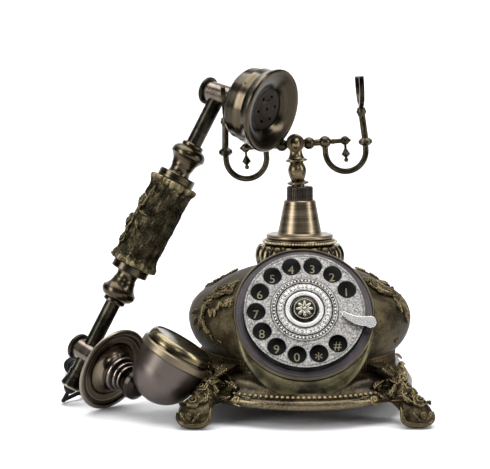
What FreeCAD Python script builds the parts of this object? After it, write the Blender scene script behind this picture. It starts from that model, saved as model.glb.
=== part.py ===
import FreeCAD, Part
import math
import os
import Sketcher
from FreeCAD import Placement, Rotation, Vector

# French-style cradle telephone: a round pot body on a bowed plinth with four scroll feet, a tilted
# finger dial,
# a column with a two-armed cradle, and the handset leaning in the left fork with its saucer on the
# floor.
# Frame: origin on the floor under the column axis, X to the right of the dial, Y to the back, Z up,
# millimetres.

SIZES = {
    # Plinth
    "plinth_half_width": 79.0,
    "plinth_half_depth": 90.0,
    "side_bow_extra": 30.0,
    "front_bow_extra": 1.0,
    "plinth_corner_radius": 20.0,
    "plinth_underside": 12.6,
    "rim_height": 6.6,
    "rim_proud": 3.2,
    "cove_height": 11.4,
    "cove_depth": 9.0,
    "plinth_wall": 5.0,
    "cover_rebate": 2.2,
    "cover_gap": 0.3,
    # Feet and pads
    "toe_overhang": 4.0,
    "toe_setback": 3.0,
    "toe_side": 20.0,
    "toe_height": 7.0,
    "ankle_inset": 6.0,
    "ankle_side": 14.0,
    "ankle_height": 16.0,
    "ankle_reach": 26.0,
    "crest_inset": 21.8,
    "crest_side": 13.0,
    "crest_reach": 20.0,
    "crest_height": 36.2,
    "pad_radius": 6.0,
    "pad_height": 1.4,
    # Pot body
    "waist_radius": 66.5,
    "waist_height": 8.6,
    "waist_wall": 3.2,
    "pot_radius": 77.5,
    "pot_widest": 61.0,
    "pot_shoulder_radius": 61.5,
    "pot_shoulder": 80.0,
    "shoulder_centre": 56.4,
    "pot_top_radius": 31.0,
    "pot_top": 94.6,
    "pot_wall": 3.6,
    # Column
    "gadroon_lobes": 18,
    "gadroon_circle_radius": 25.4,
    "gadroon_lobe_radius": 6.0,
    "gadroon_end_radius": 3.0,
    "gadroon_height": 15.8,
    "gadroon_bore": 12.0,
    "bead_ring_radius": 25.6,
    "bead_ring_height": 4.4,
    "flange_radius": 23.6,
    "flange_height": 3.0,
    "cone_bottom_radius": 15.2,
    "cone_top_radius": 10.9,
    "cone_height": 23.6,
    # Plunger, spring and stem of the cradle
    "plunger_radius": 9.1,
    "plunger_rise": 9.8,
    "plunger_sink": 10.6,
    "plunger_clearance": 0.06,
    "flute_count": 36,
    "flute_radius": 0.5,
    "rod_radius": 4.0,
    "rod_clearance": 0.08,
    "rod_length": 44.0,
    "cradle_travel": 5.0,
    "cradle_lean": 4.2,
    "lean_pivot_height": 135.0,
    "coil_radius": 6.6,
    "coil_wire_radius": 0.6,
    "coil_turns": 4,
    "stem_ring_radius": 7.5,
    "stem_barrel_radius": 6.4,
    "stem_flange_radius": 7.6,
    "hub_height": 181.0,
    "hub_radius": 5.0,
    "hub_half_length": 6.2,
    "hub_flange_radius": 6.2,
    "hub_cap_radius": 3.8,
    # Arms, horns, forks and drops
    "arm_drop": 0.8,
    "arm_bead_x": 9.4,
    "arm_bead_radius": 4.3,
    "arm_ball_x": 20.5,
    "arm_ball_radius": 4.3,
    "arm_rod_radius": 2.3,
    "arm_thin_radius": 1.7,
    "arm_ring_x": 26.4,
    "arm_ring_radius": 3.1,
    "arm_finial_x": 34.5,
    "arm_finial_radius": 3.2,
    "horn_tube_radius": 2.05,
    "horn_bend_radius": 14.0,
    "horn_leg": 7.4,
    "horn_collar_drop": 1.8,
    "horn_collar_radius": 4.8,
    "horn_collar_height": 5.0,
    "upright_inset": 1.4,
    "fork_ring_rise": 18.9,
    "fork_ring_radius": 4.0,
    "fork_neck": 2.4,
    "fork_opening": 28.2,
    "fork_blade": 1.9,
    "fork_width": 3.2,
    "fork_height": 24.6,
    "drop_length": 11.8,
    "drop_barb_radius": 3.2,
    "drop_ball_radius": 1.6,
    # Dial, heights counted from the front of the finger wheel
    "dial_sink": 15.5,
    "dial_z": 74.4,
    "dial_tilt": 31.5,
    "wheel_radius": 40.0,
    "wheel_thickness": 1.6,
    "finger_holes": 12,
    "finger_hole_radius": 6.2,
    "finger_hole_bevel": 0.4,
    "finger_circle_radius": 31.8,
    "finger_pitch_angle": 25.9,
    "first_hole_angle": 26.9,
    "wheel_boss_radius": 8.0,
    "wheel_boss_length": 3.0,
    "wheel_step_radius": 22.4,
    "wheel_step_height": 0.7,
    "wheel_recess_radius": 13.4,
    "medallion_radius": 8.8,
    "medallion_height": 1.8,
    "number_plate_depth": 5.4,
    "number_plate_radius": 40.6,
    "number_plate_thickness": 1.6,
    "dial_ring_radius": 45.2,
    "dial_ring_thickness": 1.4,
    "bezel_radius": 46.8,
    "bezel_height": 2.6,
    "drum_back_radius": 43.0,
    "dial_ring_bore": 34.0,
    "drum_depth": 34.0,
    "drum_wall": 3.2,
    "spindle_radius": 3.0,
    "spindle_clearance": 0.05,
    "mechanism_plate_thickness": 1.6,
    "gear_module": 0.7,
    "gear_teeth": 48,
    "pinion_teeth": 12,
    "gear_width": 2.4,
    "gear_window_radius": 3.2,
    "pinion_pin_radius": 1.2,
    "governor_radius": 7.0,
    "spring_post_circle": 20.6,
    "spring_can_radius": 13.0,
    "spring_can_height": 7.0,
    # Finger stop, which is also the redial key
    "stop_angle": -13.5,
    "stop_pad_circle": 43.6,
    "stop_pad_radius": 4.0,
    "stop_tip_circle": 26.0,
    "stop_tip_angle": -9.7,
    "stop_tip_radius": 1.5,
    "stop_bow": 1.6,
    "stop_lift": 1.9,
    "stop_thickness": 1.7,
    "stop_post_radius": 2.0,
    "stop_travel": 1.2,
    # Handset: place of its lower joint, lean of its handle and heading of its ear and mouth pieces
    "lower_joint_x": -147.2,
    "lower_joint_y": -12.0,
    "lower_joint_z": 36.34,
    "handle_length": 200.9,
    "handle_elevation": 62.5,
    "handle_heading": 10.3,
    "face_heading": -43.5,
    "tube_radius": 5.4,
    "tube_bore": 3.4,
    "tail_length": 27.0,
    "bell_length": 13.0,
    "bell_radius": 7.6,
    "sleeve_radius": 14.6,
    "sleeve_length": 65.0,
    "ferrule_length": 29.0,
    "ferrule_ring_radius": 13.2,
    "ferrule_ring_height": 5.6,
    "ferrule_waist_radius": 7.4,
    "ferrule_bulb_radius": 12.0,
    "barrel_radius": 7.4,
    "barrel_back": 8.4,
    "joint_cap_radius": 9.6,
    "joint_cap_height": 5.0,
    "ear_turn": 4.0,
    "ear_tilt": 5.0,
    "ear_start": 16.0,
    "ear_neck_radius": 11.0,
    "ear_back_radius": 25.0,
    "ear_back_length": 15.6,
    "ear_front_length": 16.0,
    "ear_rim_radius": 28.6,
    "ear_dish_depth": 5.8,
    "ear_disc_radius": 14.6,
    "ear_disc_thickness": 1.6,
    "sound_hole_radius": 1.1,
    "sound_hole_circle": 9.0,
    "ear_wall": 2.4,
    "saucer_radius": 29.4,
    "saucer_place": 27.9,
    "saucer_back": 6.4,
    "boss_radius": 10.0,
    "boss_end": 50.0,
    "cup_along": 30.7,
    "cup_out": 70.5,
    "cup_tilt": 6.0,
    "cup_radius": 23.6,
    "cup_bottom_radius": 22.5,
    "cup_depth": 35.0,
    "cup_wall": 2.2,
    "band_radius": 25.3,
    "band_height": 5.4,
    "lid_height": 12.6,
    "lid_mouth_radius": 17.0,
    # Pieces inside the body
    "switch_height": 8.0,
    "ringer_radius": 13.0,
    "ringer_height": 9.0,
    "screw_circle": 64.6,
    "screw_head_radius": 2.6,
    "jack_x": 38.0,
    "jack_y": 74.6,
    "jack_z": 24.6,
    "jack_radius": 5.4,
    "jack_length": 18.0,
    "jack_depth": 13.0,
    # Cord and its fittings
    "cable_radius": 1.5,
    "curl_radius": 5.9,
    "curl_pitch": 4.6,
    "curl_start": 32.0,
    "curl_end": 56.0,
    "plug_radius": 3.3,
    "plug_length": 16.0,
    "boot_radius": 4.6,
    "boot_length": 4.0,
}

# Points of the handset cord, chosen along its way on the floor from the tail of the handset to the
# jack.
CORD_ROUTE = [(-161.31, -14.56, 8.8), (-164.28, -15.1, 2.99), (-165.3, -8.6, 2.0), (-160.0, -2.5, 3.4),
              (-150.5, 7.0, 6.2), (-141.0, 30.0, 6.2), (-147.0, 62.0, 6.2), (-178.0, 92.0, 6.2),
              (-150.0, 125.0, 6.2), (-100.0, 128.0, 6.2), (-70.0, 114.0, 6.2), (-52.0, 107.0, 10.0),
              (-38.0, 102.6, 22.0), (-38.0, 84.2, 24.6)]

document = FreeCAD.newDocument("cradle_telephone")
sheet = document.addObject("Spreadsheet::Sheet", "sizes")
for row, (alias, number) in enumerate(SIZES.items(), start=1):
    sheet.set("A%d" % row, alias)
    sheet.set("B%d" % row, str(number))
    sheet.setAlias("B%d" % row, alias)
document.recompute()

nodes = []


def terms(expression):
    """Splits a sum such as 'cone_height + 2 - rim_height*0.5' into (sign, factors) pairs."""
    sign = 1
    for word in expression.split():
        if word in ("+", "-"):
            sign = 1 if word == "+" else -1
            continue
        yield sign, word.split("*")
        sign = 1


def size(expression):
    """The number that a sum of named sizes stands for."""
    total = 0.0
    for sign, factors in terms(expression):
        product = 1.0
        for factor in factors:
            product *= SIZES[factor] if factor in SIZES else float(factor)
        total += sign * product
    return total


def bound(expression):
    """The same sum, written on the sheet's cells."""
    text = "0 mm"
    for sign, factors in terms(expression):
        cells = ["sizes." + factor if factor in SIZES else factor for factor in factors]
        text += (" + " if sign > 0 else " - ") + " * ".join(cells) + " * 1 mm"
    return text


def keep(piece, label, placement=None):
    """Gives a finished sub-part its name and place, and lists it for writing."""
    piece.Label = label
    if placement is not None:
        piece.Placement = placement
    nodes.append(piece)
    return piece


def new_sketch(body, name, role, lift=None):
    """A sketch on one of the body's own origin planes, lifted by a bound height where one is given."""
    plane = next(f for f in body.Origin.OriginFeatures if f.Role == role)
    sketch = body.newObject("Sketcher::SketchObject", name)
    sketch.AttachmentSupport = [(plane, "")]
    sketch.MapMode = "FlatFace"
    if lift:
        sketch.setExpression("AttachmentOffset.Base.z", bound(lift))
    return sketch


def bend(start, end, radius, turn):
    """The arc of a circle from start to end that turns left (1) or right (-1)."""
    chord = end - start
    half = chord.Length / 2
    left = Vector(-chord.y, chord.x, 0).normalize()
    centre = start + chord * 0.5 + left * (turn * math.sqrt(max(radius * radius - half * half, 0.0)))
    first, last = (start, end) if turn > 0 else (end, start)
    angles = [math.atan2(p.y - centre.y, p.x - centre.x) for p in (first, last)]
    return Part.ArcOfCircle(Part.Circle(centre, Vector(0, 0, 1), radius), angles[0], angles[1])


def draw_outline(sketch, outline):
    """Draws a closed outline with every point and radius bound to the sheet.

    Each point is (across, up), or (across, up, turn, radius) where the way to the next point is an arc.
    """
    points = [Vector(size(item[0]), size(item[1]), 0) for item in outline]
    ends = []
    for i, item in enumerate(outline):
        start, end = points[i], points[(i + 1) % len(points)]
        if len(item) == 4:
            index = sketch.addGeometry(bend(start, end, size(item[3]), item[2]))
            ends.append((index, 1, 2) if item[2] > 0 else (index, 2, 1))
        else:
            ends.append((sketch.addGeometry(Part.LineSegment(start, end)), 1, 2))
    for i, item in enumerate(outline):
        index, first, last = ends[i]
        following = ends[(i + 1) % len(ends)]
        sketch.addConstraint(Sketcher.Constraint("Coincident", index, last, following[0], following[1]))
        for kind, axis, expression, number in (("DistanceX", -2, item[0], points[i].x),
                                               ("DistanceY", -1, item[1], points[i].y)):
            if expression == "0":
                sketch.addConstraint(Sketcher.Constraint("PointOnObject", index, first, axis))
                continue
            place = sketch.addConstraint(Sketcher.Constraint(kind, -1, 1, index, first, number))
            sketch.setExpression("Constraints[%d]" % place, bound(expression))
        if len(item) == 4:
            place = sketch.addConstraint(Sketcher.Constraint("Radius", index, size(item[3])))
            sketch.setExpression("Constraints[%d]" % place, bound(item[3]))


def turned(name, outline):
    """A body turned about its own Z axis from an outline of (radius, height) points."""
    body = document.addObject("PartDesign::Body", name)
    sketch = new_sketch(body, name + "_profile", "XZ_Plane")
    draw_outline(sketch, outline)
    revolution = body.newObject("PartDesign::Revolution", name + "_turn")
    revolution.Profile = sketch
    revolution.ReferenceAxis = (sketch, ["V_Axis"])
    revolution.Angle = 360
    sketch.Visibility = False
    document.recompute()
    return body


def padded(name, outline, role, height, lift=None, midplane=False):
    """A body padded from an outline on one of its origin planes."""
    body = document.addObject("PartDesign::Body", name)
    sketch = new_sketch(body, name + "_outline", role, lift)
    draw_outline(sketch, outline)
    pad = body.newObject("PartDesign::Pad", name + "_pad")
    pad.Profile = sketch
    pad.setExpression("Length", bound(height))
    pad.Midplane = midplane
    document.recompute()
    return body


def shaped(name, shape, placement=None):
    """A sub-part whose shape is worked out by Part's own functions."""
    piece = document.addObject("Part::Feature", name)
    piece.Shape = shape
    return keep(piece, name, placement.multiply(shape.Placement) if placement else None)


def ring(inner, outer, low, high):
    """The outline of a plain ring."""
    return [(inner, low), (outer, low), (outer, high), (inner, high)]


# Places that more than one piece uses
RIM_TOP = "plinth_underside + rim_height"
WAIST_BOTTOM = RIM_TOP + " + cove_height"
POT_BOTTOM = WAIST_BOTTOM + " + waist_height"
GADROON_TOP = "pot_top + gadroon_height"
FLANGE_BOTTOM = GADROON_TOP + " + bead_ring_height"
CONE_BOTTOM = FLANGE_BOTTOM + " + flange_height"
CONE_TOP = CONE_BOTTOM + " + cone_height"
PLUNGER_TOP = CONE_TOP + " + plunger_rise"
PLUNGER_FOOT = CONE_TOP + " - plunger_sink"

dial_place = Placement(Vector(0, size("dial_sink - pot_radius"), size("dial_z")),
                       Rotation(Vector(1, 0, 0), 90 - size("dial_tilt")))
lean = Placement(Vector(), Rotation(Vector(0, 1, 0), -size("cradle_lean")),
                 Vector(0, 0, size("lean_pivot_height")))

# Plinth: bowed plan, half-round rim, hollowed cove and the rebate that takes the bottom cover
def plan_corner(half_width, half_depth):
    """Where the corner arc of the bowed plan meets its back and side arcs, and its middle."""
    front = size("plinth_half_width + front_bow_extra")
    side = size("plinth_half_depth + side_bow_extra")
    corner = size("plinth_corner_radius")
    front_centre = Vector(0, half_depth - front, 0)
    side_centre = Vector(half_width - side, 0, 0)
    near, far = front - corner, side - corner
    span = side_centre - front_centre
    along = (near ** 2 - far ** 2 + span.Length ** 2) / (2 * span.Length)
    across = math.sqrt(near ** 2 - along ** 2)
    unit = Vector(span).normalize()
    normal = Vector(unit.y, -unit.x, 0)
    if normal.x + normal.y < 0:
        normal = -normal
    centre = front_centre + unit * along + normal * across
    on_back = front_centre + (centre - front_centre).normalize() * front
    on_side = side_centre + (centre - side_centre).normalize() * side
    outward = ((on_back - centre) + (on_side - centre)).normalize()
    return on_back, centre + outward * corner, on_side


def closed_arcs(half_width, half_depth, on_back, corner, on_side, height):
    """A closed wire of eight arcs through the four-fold symmetric points of a plan."""
    quarter = [(0, half_depth), (on_back.x, on_back.y), (corner.x, corner.y), (on_side.x, on_side.y),
               (half_width, 0)]
    ring_points = quarter + [(x, -y) for x, y in reversed(quarter[:-1])]
    ring_points += [(-x, y) for x, y in reversed(ring_points[1:-1])]
    points = [Vector(x, y, height) for x, y in ring_points]
    points = points[1:] + points[:1]
    edges = [Part.Arc(points[i], points[i + 1], points[(i + 2) % len(points)]).toShape()
             for i in range(0, len(points), 2)]
    return Part.Wire(edges)


def bowed_plan(inset, height):
    """The bowed plan of the plinth, drawn in by an inset, at a height."""
    half_width, half_depth = size("plinth_half_width") - inset, size("plinth_half_depth") - inset
    return closed_arcs(half_width, half_depth, *plan_corner(half_width, half_depth), height)


def round_plan(radius, height):
    """A circle split at the same angles as the bowed plan, so that the two can be lofted."""
    marks = plan_corner(size("plinth_half_width"), size("plinth_half_depth"))
    split = [Vector(mark).normalize() * radius for mark in marks]
    return closed_arcs(radius, radius, *split, height)


def disc(radius, low, high):
    """A plain upright cylinder between two heights."""
    return Part.makeCylinder(radius, high - low, Vector(0, 0, low))


drum_front = "0 - number_plate_depth - number_plate_thickness - dial_ring_thickness"
drum_outline = [("0", drum_front), ("bezel_radius", drum_front),
                ("drum_back_radius", drum_front + " - drum_depth*0.7"),
                ("drum_back_radius - drum_wall*3", drum_front + " - drum_depth"),
                ("0", drum_front + " - drum_depth")]
drum_block = turned("drum_block", drum_outline)
drum_solid = drum_block.Shape.fuse(disc(size("bezel_radius"), size(drum_front), size("bezel_radius")))
drum_solid.Placement = dial_place

rim = Part.Face(bowed_plan(0, size("plinth_underside"))).extrude(Vector(0, 0, size("rim_height")))
flat_edges = [edge for edge in rim.Edges if abs(edge.BoundBox.ZLength) < 0.01]
rim = rim.makeFillet(size("rim_height*0.49"), flat_edges)
cove_steps = [(0.0, 0.0), (0.28, 0.08), (0.62, 0.38)]
cove_wires = [bowed_plan(size("rim_proud") + size("cove_depth") * inset,
                         size("plinth_underside + rim_height*0.5")
                         + size("cove_height + rim_height*0.5") * rise)
              for rise, inset in cove_steps]
cove_wires.append(round_plan(size("waist_radius + rim_proud"), size(WAIST_BOTTOM)))
cove = Part.makeLoft(cove_wires, True, False)
hollow_radius = size("waist_radius - waist_wall")
plinth = rim.fuse(cove).cut(disc(hollow_radius, 0, size(POT_BOTTOM)))
rebate_radius = hollow_radius + size("plinth_wall")
plinth = plinth.cut(disc(rebate_radius, 0, size("plinth_underside + cover_rebate"))).cut(drum_solid)
shaped("plinth", plinth.removeSplitter())


# Scroll feet: four brackets lofted from the toe over the ankle to the crest, cut to lie on the plinth
def foot_section(outer_x, outer_y, side, inner, height):
    """A kite-shaped section with its round corner pointing out and its inner corner under the plinth."""
    round_off = side * 0.3
    corner = Vector(outer_x, outer_y, height)
    first, last = corner - Vector(side, 0, 0), corner - Vector(0, side, 0)
    before, after = corner - Vector(round_off, 0, 0), corner - Vector(0, round_off, 0)
    middle = corner - Vector(1, 1, 0) * (round_off * (1 - math.sqrt(0.5)))
    inside = corner - Vector(inner, inner, 0)
    return Part.Wire([Part.makeLine(first, before), Part.Arc(before, middle, after).toShape(),
                      Part.makeLine(after, last), Part.makeLine(last, inside), Part.makeLine(inside,
                                                                                             first)])


toe_x, toe_y = size("plinth_half_width + toe_overhang"), size("plinth_half_depth - toe_setback")
foot_sections = [(size("pad_height"), 2.0, size("toe_side") - 4, size("toe_side") - 4),
                 (size("toe_height"), 0.0, size("toe_side"), size("toe_side")),
                 (size("ankle_height"), size("ankle_inset"), size("ankle_side"), size("ankle_reach")),
                 (size("crest_height"), size("crest_inset"), size("crest_side"), size("crest_reach"))]
foot = Part.makeLoft([foot_section(toe_x - inset, toe_y - inset, side, reach, height)
                      for height, inset, side, reach in foot_sections], True, False)
feet = []
for mirror_x, mirror_y in ((1, 1), (-1, 1), (-1, -1), (1, -1)):
    copy = foot.copy()
    if mirror_x < 0:
        copy = copy.mirror(Vector(), Vector(1, 0, 0))
    if mirror_y < 0:
        copy = copy.mirror(Vector(), Vector(0, 1, 0))
    feet.append(copy)
pot_keepout = disc(size("waist_radius + 1.2"), size(WAIST_BOTTOM), size("pot_top"))
plinth_keepout = rim.fuse(cove)
feet = [each.cut(plinth_keepout).cut(pot_keepout) for each in feet]
feet = [max(each.Solids, key=lambda solid: solid.Volume) for each in feet]
shaped("scroll_feet", Part.makeCompound(feet))

pads = []
for mirror_x, mirror_y in ((1, 1), (-1, 1), (-1, -1), (1, -1)):
    spot = Vector(mirror_x * (toe_x - size("toe_side") * 0.5),
                  mirror_y * (toe_y - size("toe_side") * 0.5), 0)
    pads.append(Part.makeCylinder(size("pad_radius"), size("pad_height"), spot))
shaped("rubber_pads", Part.makeCompound(pads))

# Bottom cover and its four screws
cover_low = "plinth_underside + cover_rebate - 2"
cover_radius = "waist_radius - waist_wall + plinth_wall - cover_gap"
cover = turned("bottom_cover", [("0", cover_low), (cover_radius, cover_low),
                                (cover_radius, cover_low + " + 2"),
                                ("0", cover_low + " + 2")])
keep(cover, "bottom_cover")

# Waist band and pot shell, both opened for the drum of the dial
waist = turned("waist_profile", [("waist_radius - waist_wall", WAIST_BOTTOM),
                                 ("waist_radius + 0.6", WAIST_BOTTOM, -1, "waist_height*2"),
                                 ("waist_radius + 0.6", POT_BOTTOM), ("waist_radius - waist_wall",
                                                                      POT_BOTTOM)])
shaped("waist_band", waist.Shape.cut(drum_solid))

pot = turned("pot_profile", [
    ("rod_radius + rod_clearance", "pot_top - pot_wall"),
    ("pot_top_radius - pot_wall", "pot_top - pot_wall", -1, "72"),
    ("pot_shoulder_radius - pot_wall*0.6", "pot_shoulder - pot_wall*0.8", -1,
     "pot_radius - shoulder_centre - pot_wall"),
    ("pot_radius - pot_wall", "pot_widest", -1, "27"),
    ("waist_radius - waist_wall", POT_BOTTOM),
    ("waist_radius + 0.8", POT_BOTTOM, 1, "28.4"),
    ("pot_radius", "pot_widest", 1, "pot_radius - shoulder_centre"),
    ("pot_shoulder_radius", "pot_shoulder", 1, "72"),
    ("pot_top_radius", "pot_top"),
    ("rod_radius + rod_clearance", "pot_top")])
shaped("pot_shell", pot.Shape.cut(drum_solid))

# Column: lobed ring, bead ring, flange and cone
lobe = turned("lobe_profile", [("0", "0"), ("gadroon_end_radius", "0", 1, "gadroon_height*0.78"),
                               ("gadroon_lobe_radius", "gadroon_height*0.5", 1, "gadroon_height*0.78"),
                               ("gadroon_end_radius", "gadroon_height"), ("0", "gadroon_height")])
core = turned("core_profile", ring("gadroon_bore", "gadroon_circle_radius", "pot_top", GADROON_TOP))
lobe_count = int(size("gadroon_lobes"))
lobes = []
for i in range(lobe_count):
    one = lobe.Shape.copy()
    one.translate(Vector(size("gadroon_circle_radius"), 0, size("pot_top")))
    one.rotate(Vector(), Vector(0, 0, 1), 360.0 * (i + 0.5) / lobe_count)
    lobes.append(one)
shaped("gadroon_ring", core.Shape.multiFuse(lobes).cut(drum_solid))

bead_ring = turned("bead_ring", [
    ("gadroon_bore", GADROON_TOP), ("bead_ring_radius - 2.2", GADROON_TOP, 1, "bead_ring_height*0.51"),
    ("bead_ring_radius - 2.2", FLANGE_BOTTOM), ("gadroon_bore", FLANGE_BOTTOM)])
keep(bead_ring, "bead_ring")
flange = turned("column_flange", [
    ("rod_radius + rod_clearance", FLANGE_BOTTOM), ("flange_radius - 1.5", FLANGE_BOTTOM, 1,
                                                    "flange_height*0.51"),
    ("flange_radius - 1.5", CONE_BOTTOM), ("rod_radius + rod_clearance", CONE_BOTTOM)])
keep(flange, "column_flange")
bore = "plunger_radius + plunger_clearance"
cone = turned("column_cone", [
    (bore, CONE_BOTTOM), ("cone_bottom_radius + 0.8", CONE_BOTTOM), ("cone_bottom_radius",
                                                                     CONE_BOTTOM + " + 1"),
    ("cone_top_radius", CONE_TOP + " - 0.6"), ("cone_top_radius - 0.6", CONE_TOP), (bore, CONE_TOP)])
keep(cone, "column_cone")

# Cradle plunger: a fluted slide in the cone with the rod that works the hook switch
rod_foot = PLUNGER_FOOT + " - rod_length"
plunger = turned("cradle_plunger", [
    ("0", rod_foot), ("rod_radius - 1", rod_foot), ("rod_radius", rod_foot + " + 1"),
    ("rod_radius", PLUNGER_FOOT), ("plunger_radius", PLUNGER_FOOT),
    ("plunger_radius", PLUNGER_TOP + " - 1.6", 1, "1.6"), ("plunger_radius - 1.6", PLUNGER_TOP),
    ("0", PLUNGER_TOP)])
flute_sketch = new_sketch(plunger, "flute_outline", "XY_Plane", PLUNGER_TOP)
flute_sketch.addGeometry(Part.Circle(Vector(size("plunger_radius"), 0, 0), Vector(0, 0, 1),
                                     size("flute_radius")))
flute_sketch.addConstraint(Sketcher.Constraint("PointOnObject", 0, 3, -1))
across = flute_sketch.addConstraint(Sketcher.Constraint("DistanceX", -1, 1, 0, 3,
                                                        size("plunger_radius")))
flute_sketch.setExpression("Constraints[%d]" % across, bound("plunger_radius"))
wide = flute_sketch.addConstraint(Sketcher.Constraint("Radius", 0, size("flute_radius")))
flute_sketch.setExpression("Constraints[%d]" % wide, bound("flute_radius"))
flute = plunger.newObject("PartDesign::Pocket", "flute")
flute.Profile = flute_sketch
flute.setExpression("Length", bound("plunger_rise"))
document.recompute()
before_flutes = plunger.Shape.Volume
flutes = plunger.newObject("PartDesign::PolarPattern", "flutes")
flutes.Originals = [flute]
flutes.Axis = (flute_sketch, ["N_Axis"])
flutes.Angle = 360
flutes.setExpression("Occurrences", "sizes.flute_count")
plunger.Tip = flutes
document.recompute()
print("plunger volume", round(before_flutes, 1), round(plunger.Shape.Volume, 1))
keep(plunger, "cradle_plunger")


def coil(radius, wire, rise, turns):
    """An open coil about Z from the origin upwards, on arcs of a quarter turn, ends of the wire square."""
    count = turns * 4
    point = lambda t: Vector(radius * math.cos(math.pi / 2 * t), radius * math.sin(math.pi / 2 * t),
                             rise * t / count)
    path = Part.Wire([Part.Arc(point(i), point(i + 0.5), point(i + 1)).toShape() for i in range(count)])
    tangent = path.Edges[0].tangentAt(path.Edges[0].FirstParameter)
    section = Part.Wire([Part.makeCircle(wire, point(0), tangent)])
    return path.makePipeShell([section], True, False)


spring_rise = size(PLUNGER_FOOT) - size(CONE_BOTTOM) - 2 * size("coil_wire_radius")
spring = coil(size("coil_radius"), size("coil_wire_radius"), spring_rise, int(size("coil_turns")))
spring.translate(Vector(0, 0, size(CONE_BOTTOM) + size("coil_wire_radius")))
shaped("cradle_spring", spring)

# Cradle stem: ring, barrel and skirted flange, leaning with all that it carries
stem_foot = PLUNGER_TOP + " - 1"
neck = "stem_ring_radius - 3"
stem = turned("stem_profile", [
    ("0", stem_foot), (neck, stem_foot), (neck, stem_foot + " + 1.8"),
    ("stem_ring_radius", stem_foot + " + 2.6"), ("stem_ring_radius", stem_foot + " + 3.6"),
    (neck, stem_foot + " + 5"), ("stem_ring_radius - 2.6", stem_foot + " + 5.8", 1, "16"),
    ("stem_barrel_radius", stem_foot + " + 12.4", 1, "14"), (neck, stem_foot + " + 17.2"),
    ("stem_flange_radius", stem_foot + " + 18.4"), ("stem_flange_radius", stem_foot + " + 19.4"),
    ("stem_flange_radius - 1.6", stem_foot + " + 20.2", -1, "8"),
    ("hub_radius - 0.6", stem_foot + " + 25"), ("hub_radius - 0.6", "hub_height"), ("0", "hub_height")])
half = "hub_half_length"
hub = turned("hub_profile", [
    ("0", "0 - hub_half_length - hub_cap_radius*0.8"),
    ("0.6", "0 - hub_half_length - hub_cap_radius*0.8", 1, "hub_cap_radius*1.03"),
    ("hub_cap_radius", "0 - " + half), ("hub_flange_radius - 0.7", "0 - " + half),
    ("hub_flange_radius", "0 - hub_half_length + 0.7"), ("hub_flange_radius",
                                                         "0 - hub_half_length + 1.8"),
    ("hub_radius", "0 - hub_half_length + 2.4"), ("hub_radius", "hub_half_length - 2.4"),
    ("hub_flange_radius", "hub_half_length - 1.8"), ("hub_flange_radius", "hub_half_length - 0.7"),
    ("hub_flange_radius - 0.7", half), ("hub_cap_radius", half, 1, "hub_cap_radius*1.03"),
    ("0.6", "hub_half_length + hub_cap_radius*0.8"), ("0", "hub_half_length + hub_cap_radius*0.8")])
hub_solid = hub.Shape.copy()
hub_solid.Placement = Placement(Vector(0, 0, size("hub_height")), Rotation(Vector(1, 0, 0), 90))
plunger_block = disc(size("plunger_radius"), size(PLUNGER_FOOT), size(PLUNGER_TOP))
leaning_stem = stem.Shape.cut(hub_solid)
leaning_stem.Placement = lean
shaped("cradle_stem", leaning_stem.cut(plunger_block))
leaning_hub = hub_solid.copy()
leaning_hub.Placement = lean.multiply(leaning_hub.Placement)
shaped("cradle_hub", leaning_hub)

# Cradle arms, turned beads along a rod, with the ball that each horn hangs from and the finial beyond
# it
ARM_AXIS = size("hub_height - arm_drop")
arm_solids = {}
for side, name in ((1, "right_arm"), (-1, "left_arm")):
    arm = turned(name + "_profile", [
        ("0", "hub_radius - 1.2"), ("arm_rod_radius", "hub_radius - 1.2"),
        ("arm_rod_radius", "arm_bead_x - arm_bead_radius*0.845", 1, "arm_bead_radius"),
        ("arm_rod_radius", "arm_bead_x + arm_bead_radius*0.845"),
        ("arm_rod_radius", "arm_ball_x - arm_ball_radius*0.845", 1, "arm_ball_radius"),
        ("arm_thin_radius", "arm_ball_x + arm_ball_radius*0.918"),
        ("arm_thin_radius", "arm_ring_x - 0.9", 1, "arm_ring_radius*0.5"),
        ("arm_thin_radius", "arm_ring_x + 0.9"),
        ("arm_thin_radius", "arm_finial_x - arm_finial_radius*0.847", 1, "arm_finial_radius"),
        ("arm_thin_radius", "arm_finial_x + arm_finial_radius*0.847"),
        ("0", "arm_finial_x + arm_finial_radius + 1.2")])
    upright_place = Placement(Vector(0, 0, ARM_AXIS), Rotation(Vector(0, 1, 0), 90 * side))
    arm_solid = arm.Shape.copy()
    arm_solid.Placement = upright_place
    arm_solids[side] = arm_solid
    shaped(name, arm_solid.cut(hub_solid.fuse(stem.Shape)), lean)


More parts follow.
